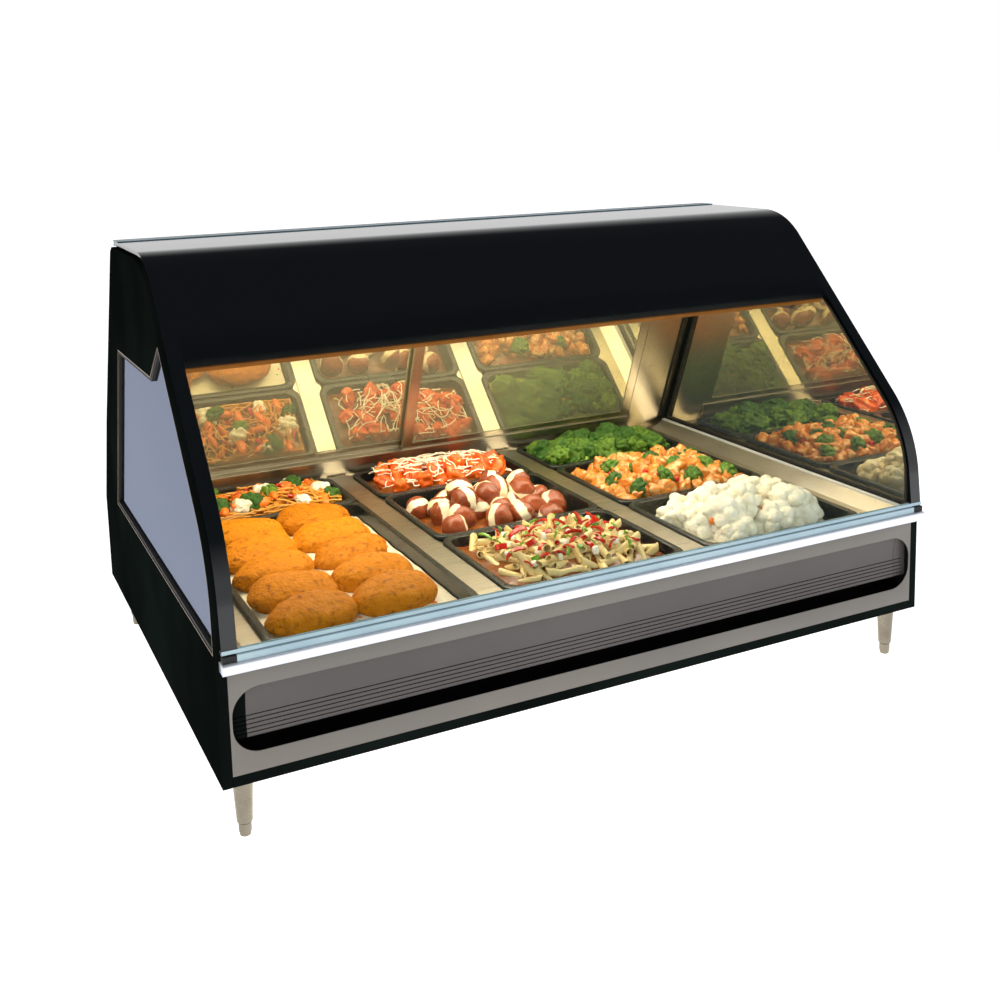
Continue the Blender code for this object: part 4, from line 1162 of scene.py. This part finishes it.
def louvrePath(withGrooves=True):
    face = [(-0.4296, 0.2288), (-0.4268, 0.2262), (-0.4244, 0.2200), (-0.4224, 0.2110), (-0.4208, 0.2000)]
    face += [(-0.4200, 0.1900), (-0.4200, 0.1830)]
    slope = 0.06  # how far the grooved part comes forward per metre down
    for i in range(louvre["grooves"] if withGrooves else 0):
        z = louvre["top"] - i * louvre["pitch"]
        y = -0.4200 - slope * (0.183 - z)
        half, deep = louvre["high"] / 2, louvre["deep"]
        face += [(y, z + half), (y + deep, z + half), (y + deep, z - half), (y, z - half)]
    face += [(-0.4219, 0.1530), (-0.4212, 0.1505), (-0.4190, 0.1488), (-0.4100, 0.1470), (-0.4030, 0.1460)]
    return face


def makeLouvre():
    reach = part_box("louvre_insert")[1].x
    left, right, seam = louvre["seamLeft"], louvre["seamRight"], 0.0004
    face = sheetMesh(louvrePath(), left + seam, right - seam, louvre["sheet"], True)
    addPiece("louvre_face", face, "case", ["louvreGrey"], ["louvre_insert"], sharp=30)
    # The left end takes black powder coat as painted shade: it is the same grey insert lying in shadow, where
    # the right end keeps the grey.
    leftEnd = sheetMesh(louvrePath(), -reach, left - seam, louvre["sheet"], True)
    addPiece("louvre_end_left_painted_shade", leftEnd, "case", ["blackPowderCoat"], sharp=30)
    rightEnd = [
        sheetMesh(louvrePath(), right + seam, louvre["groovesEnd"], louvre["sheet"], True),
        sheetMesh(louvrePath(False), louvre["groovesEnd"], reach, louvre["sheet"], True),
    ]
    addPiece("louvre_end_right", joinMeshes(rightEnd), "case", ["louvreGrey"], sharp=30)
    # The slot under the insert: a near-black channel that is painted shade for the shadow there.
    slot = [(-0.4030, 0.1458), (-0.4000, 0.1400), (-0.4000, 0.1300), (-0.4100, 0.1290), (-0.4296, 0.1290)]
    channel = sheetMesh(slot, -reach, reach, louvre["sheet"], True)
    addPiece("intake_channel_painted_shade", channel, "case", ["paintedShadeBlack"])


makeLouvre()
print("louvre made")


# Side ledges: folded skirts that carry a bright twin-lipped channel for the side glass

ledge = {"foot": 0.5580, "slopeTop": 0.5850, "lip": 0.0018, "lipHigh": 0.0028}


def makeSideLedges():
    for side, name in ((-1, "left"), (1, "right")):
        low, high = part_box(f"side_ledge_{name}")
        wall, top = max(abs(low.x), abs(high.x)), high.z
        section = [(ledge["foot"], low.z), (wall, low.z), (wall, top), (0.5890, top)]
        section.append((ledge["slopeTop"], top - 0.0022))
        section = roundedPath(section, (0, 0, 0, 0.0030, 0.0040), 5)
        outline = [(side * x, z) for x, z in section]
        skirt = outlineMesh([outline], -high.y, -low.y, alongY)
        addPiece(f"ledge_{name}", skirt, "case", ["brushedStainless"], [f"side_ledge_{name}"])
        lips = []
        for x in (0.5868, 0.5915):
            a, b = sorted((side * x, side * (x + ledge["lip"])))
            lips.append(blockMesh((a, low.y, top - 0.0006), (b, high.y, top + ledge["lipHigh"]), 0.0005))
        channel = joinMeshes(lips)
        addPiece(f"glass_channel_{name}", channel, "case", ["brightAnodised"])


makeSideLedges()

door = {"foot": (0.3250, 0.2860), "lean": math.radians(22.5), "rise": 0.310}


def doorPoint(across, up):
    # A point in (y, z): across outwards from the doors, up along their lean.
    return tuple(Vector(door["foot"]) + Matrix.Rotation(door["lean"], 2) @ Vector((across, up)))


def makeCornerSeals():
    front, proud, past = -0.0050, 0.0016, 0.012
    for side, name in ((-1, "left"), (1, "right")):
        back, face, top = front - 0.0001, front - proud, door["rise"] + past
        outline = [doorPoint(face, -past), doorPoint(back, -past), doorPoint(back, top), doorPoint(face, top)]
        low, high = sorted((side * 0.5785, side * 0.5840))
        strip = outlineMesh([outline], low, high, alongX, edge=0.0004)
        addPiece(f"corner_seal_{name}", strip, "case", ["blackRubber"])


makeCornerSeals()


def makeDoorPulls():
    # Low lips pressed on the outer faces, thin enough for the doors to pass each other.
    for side, name, track in ((-1, "left", 1), (1, "right", 0)):
        low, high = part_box(f"door_{name}_frame")
        x = high.x if side > 0 else low.x
        face = track * 0.0135 + 0.0040
        a, b = sorted((x - side * 0.006, x - side * 0.014))
        outline = [doorPoint(face, 0.09), doorPoint(face + 0.0036, 0.10)]
        outline += [doorPoint(face + 0.0036, 0.20), doorPoint(face, 0.21)]
        pull = outlineMesh([outline], a, b, alongX, edge=0.0006)
        addPiece(f"door_pull_{name}", pull, f"door_{name}", ["brushedStainless"])


makeDoorPulls()
print("ledges, seals and pulls made")


def makeHoodLip():
    # The lamp hood's lower front edge, with lamplight painted on it as a copper tone and a glow.
    low = -0.2014
    path = [(low + 0.0030, 0.6110), (low + 0.0068, 0.6032), (low + 0.0200, 0.6028)]
    reach = case["inner"]
    addPiece("hood_lip", sheetMesh(path, -reach, reach, 0.0008, False), "case", ["paintedLampGlowLip"])


makeHoodLip()

leg = {"topR": 0.0140, "lowR": 0.0110, "bottom": 0.020, "shoulder": 0.078, "bore": 0.0054}


def makeLegs():
    top = case["floor"] - case["gap"]
    sleeve = [
        (leg["bore"], 0.060),
        (leg["bore"], leg["bottom"]),
        (leg["lowR"] - 0.0012, leg["bottom"]),
        (leg["lowR"] - 0.0003, leg["bottom"] + 0.0004),
        (leg["lowR"], leg["bottom"] + 0.0014),
        (leg["lowR"] + 0.0001, leg["bottom"] + 0.0040),
        (leg["topR"] - 0.0001, leg["shoulder"] - 0.0006),
        (leg["topR"], leg["shoulder"]),
        (leg["topR"], top - 0.0002),
        (0, top - 0.0002),
    ]
    tip = [
        (0, 0.050),
        (0.0050, 0.050),
        (0.0050, 0.0190),
        (0.0082, 0.0190),
        (0.0089, 0.0184),
        (0.0090, 0.0176),
        (0.0090, 0.0080),
        (0.0087, 0.0060),
        (0.0077, 0.0006),
        (0.0070, 0.0),
        (0, 0.0),
    ]
    for end in ("front", "rear"):
        for name in ("left", "right"):
            low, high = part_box(f"foot_{end}_{name}")
            place = ((low.x + high.x) / 2, (low.y + high.y) / 2, 0)
            parts = (
                (f"leg_{end}_{name}", "sleeve", sleeve, "case"),
                (f"foot_{end}_{name}", "tip", tip, f"foot_{end}_{name}_screw"),
            )
            for node, part, profile, body in parts:
                mesh = turnedMesh(profile, place)
                addPiece(f"{part}_{end}_{name}", mesh, body, ["turnedStainless"], [node])


makeLegs()


# Operator side: dial, its ticks, and screws

dial = {
    "ticks": 11,
    "sweep": math.radians(270),
    "inner": 0.0235,
    "outer": 0.0285,
    "grips": 24,
    "taper": 0.93,
    "hollow": 0.955,
}


def makeDial():
    low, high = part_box("thermostat_knob")
    centre = Vector(((low.x + high.x) / 2, 0, (low.z + high.z) / 2))
    radius, back, front = (high.x - low.x) / 2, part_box("control_panel")[1].y + 0.0008, high.y
    shape = bmesh.new()
    size = {"radius1": radius, "radius2": radius * dial["taper"], "depth": front - back}
    bmesh.ops.create_cone(shape, cap_ends=True, segments=2 * dial["grips"], **size)
    for vert in shape.verts:
        turn = round(math.atan2(vert.co.y, vert.co.x) / (math.pi / dial["grips"]))
        if turn % 2:
            vert.co.x *= dial["hollow"]
            vert.co.y *= dial["hollow"]
    top = [f for f in shape.faces if f.normal.z > 0.9]
    bmesh.ops.inset_region(shape, faces=top, thickness=0.0022, depth=0.0)
    bmesh.ops.translate(shape, verts=list({v for f in top for v in f.verts}), vec=(0, 0, -0.0012))
    rims = [e for e in shape.edges if e.is_manifold and e.calc_face_angle() > 0.9]
    roundEdges(shape, rims, 0.0004, 2)
    turnShape(shape, -math.pi / 2, "X")
    bmesh.ops.translate(shape, verts=shape.verts, vec=(centre.x, (front + back) / 2, centre.z))
    mesh = finishMesh(shape, "knob")
    addPiece("dial_knob", mesh, "thermostat", ["blackAbs"], ["thermostat_knob"])
    markHalf = 0.0009
    markLow = (centre.x - markHalf, front - 0.0010, centre.z + 0.006)
    markHigh = (centre.x + markHalf, front - 0.0002, centre.z + radius * 0.88)
    mark = blockMesh(markLow, markHigh, 0.0002)
    addPiece("dial_pointer", mark, "thermostat", ["whiteMoulding"])
    ticks = []
    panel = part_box("control_panel")[1].y
    for i in range(dial["ticks"]):
        turn = -dial["sweep"] / 2 + dial["sweep"] * i / (dial["ticks"] - 1)
        low, high = (-0.0006, panel - 0.0002, dial["inner"]), (0.0006, panel + 0.0003, dial["outer"])
        tick = blockMesh(low, high, 0.0001, 1)
        tick.transform(Matrix.Translation(centre) @ Matrix.Rotation(turn, 4, "Y"))
        ticks.append(tick)
    addPiece("dial_ticks", joinMeshes(ticks), "case", ["whiteMoulding"])


makeDial()


def makeScrews():
    # Pan-head screws that hold the rear skin and the control panel.
    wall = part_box("base_cabinet")[1].y
    panelLow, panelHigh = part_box("control_panel")
    profile = [(0, 0.0022), (0.0016, 0.0021), (0.0030, 0.0015), (0.0037, 0.0006), (0.0038, 0.0), (0, 0.0)]
    places = [(x, z, wall) for x in (-0.56, -0.40, 0.06, 0.26, 0.36, 0.56) for z in (0.105, 0.235)]
    places += [(x, z, panelHigh.y) for x in (panelLow.x + 0.010, panelHigh.x - 0.010) for z in (0.126, 0.214)]
    screws = []
    for x, z, y in places:
        head = turnedMesh(profile, (x, y + 0.0001, z), 16, "Y")
        screws.append(head)
    addPiece("rear_screws", joinMeshes(screws), "case", ["turnedStainless"])


makeScrews()
print("legs, dial and screws made")


# Floor, lights and camera

stage = {
    "floorSize": 20.0,
    "floorColours": ("#F4F4F3", "#F0F0EF"),
    "glow": 0.95,
    "skyColours": ("#FFFFFF", "#3C3E42"),  # level with the eye, overhead
}


def makeStage():
    shape = bmesh.new()
    bmesh.ops.create_grid(shape, x_segments=1, y_segments=1, size=stage["floorSize"])
    mesh = finishMesh(shape, "floor")
    floor = bpy.data.objects.new("floor", mesh)
    bpy.context.scene.collection.objects.link(floor)
    material, tree, shader, _ = newMaterial("paleFloor")
    place = addNode(tree, "TexCoord").outputs["Object"]
    mottle = addNode(tree, "TexNoise", {"Scale": 1.5}, {"Vector": place}).outputs[0]
    linkShader(tree, shader, {"Base Color": blendNode(tree, mottle, *stage["floorColours"])})
    setShader(shader, {"Roughness": 0.9, "Specular IOR Level": 0.1})
    setShader(shader, {"Emission Color": "#FFFFFF", "Emission Strength": stage["glow"]})
    mesh.materials.append(material)
    world = bpy.data.worlds.new("studio")
    world.use_nodes = True
    tree = world.node_tree
    background = tree.nodes["Background"]
    place = addNode(tree, "TexCoord").outputs["Generated"]
    height = addNode(tree, "SeparateXYZ", {}, {0: place}).outputs["Z"]
    sky = blendNode(tree, rangeNode(tree, height, 0.20, 0.62), *stage["skyColours"])
    tree.links.new(sky, background.inputs["Color"])
    background.inputs["Strength"].default_value = 1.0
    bpy.context.scene.world = world
    bpy.context.scene.view_settings.view_transform = "Standard"


lights = (
    # name, place, aim, size, power, colour
    ("key", (-1.6, -3.0, 2.4), (0, 0, 0.3), (1.8, 1.8), 70, "#FFFFFF"),
    ("fill", (2.6, -2.4, 1.6), (0, 0, 0.3), (1.6, 1.6), 40, "#F4F7FF"),
    ("hoodFront", (0, -0.10, 0.615), (0, -0.13, 0.2), (1.10, 0.10), 4.2, "#FFEBD0"),
    ("hoodRear", (0, 0.06, 0.615), (0, 0.07, 0.2), (1.10, 0.10), 3.6, "#FFEBD0"),
)


def makeLights():
    for name, place, aim, size, power, colour in lights:
        lamp = bpy.data.lights.new(name, "AREA")
        lamp.shape = "RECTANGLE"
        lamp.size, lamp.size_y = size
        lamp.energy = power
        lamp.color = toLinear(colour)[:3]
        holder = bpy.data.objects.new(name, lamp)
        holder.location = place
        holder.visible_glossy = "hood" in name  # no hard window shapes in the glass
        holder.rotation_euler = (Vector(aim) - Vector(place)).to_track_quat("-Z", "Y").to_euler()
        bpy.context.scene.collection.objects.link(holder)


view = {
    "place": (-0.9272, -1.9267, 0.9531),
    "yaw": math.radians(26.36),
    "pitch": math.radians(8.49),
    "roll": math.radians(-1.39),
    "lens": 43.69,
    "shiftY": -0.2,
}


def makeCamera():
    yaw, pitch, roll = view["yaw"], view["pitch"], view["roll"]
    ahead = Vector((math.sin(yaw) * math.cos(pitch), math.cos(yaw) * math.cos(pitch), -math.sin(pitch)))
    right = Vector((math.cos(yaw), -math.sin(yaw), 0))
    up = right.cross(ahead)
    across = math.cos(roll) * right + math.sin(roll) * up
    upright = math.cos(roll) * up - math.sin(roll) * right
    lens = bpy.data.cameras.new("camera")
    lens.lens, lens.sensor_width, lens.shift_y = view["lens"], 36.0, view["shiftY"]
    lens.clip_end = 60
    camera = bpy.data.objects.new("camera", lens)
    facing = Matrix((across, upright, -ahead)).transposed().to_4x4()
    camera.matrix_world = Matrix.Translation(view["place"]) @ facing
    bpy.context.scene.collection.objects.link(camera)
    bpy.context.scene.camera = camera


makeStage()
makeLights()
makeCamera()
print("stage, lights and camera ready")

# Finishes of the CAD nodes that stay

keptFinish = {
    "brushedStainless": (
        "base_cabinet deck divider_bar_left divider_bar_right well_liner rear_sill upper_track"
    ),
    "uprightStainless": "rear_post_left rear_post_right door_left_frame door_right_frame",
    "blackPowderCoat": "kick_strip control_panel",
    "hoodCoat": "hood_shell",
    "sealPvc": "glass_edge_trim",
    "tealAnodised": "top_rail glass_clamp_rail",
    "mirrorGlass": "door_left_glass door_right_glass",
    "mineralWool": "well_insulation",
    "siliconeRubber": "heating_cable",
    "blackAbs": "thermostat_body switch_housing power_rocker light_rocker cable_gland",
    "redAcrylic": "indicator_lamp",
    "rolledAluminium": "lamp_reflector",
    "lampGlass": "lamp_front lamp_rear",
}
for material, names in keptFinish.items():
    for name in names.split():
        nodes[name].data.materials.clear()
        nodes[name].data.materials.append(finish[material])

print("finishes given")
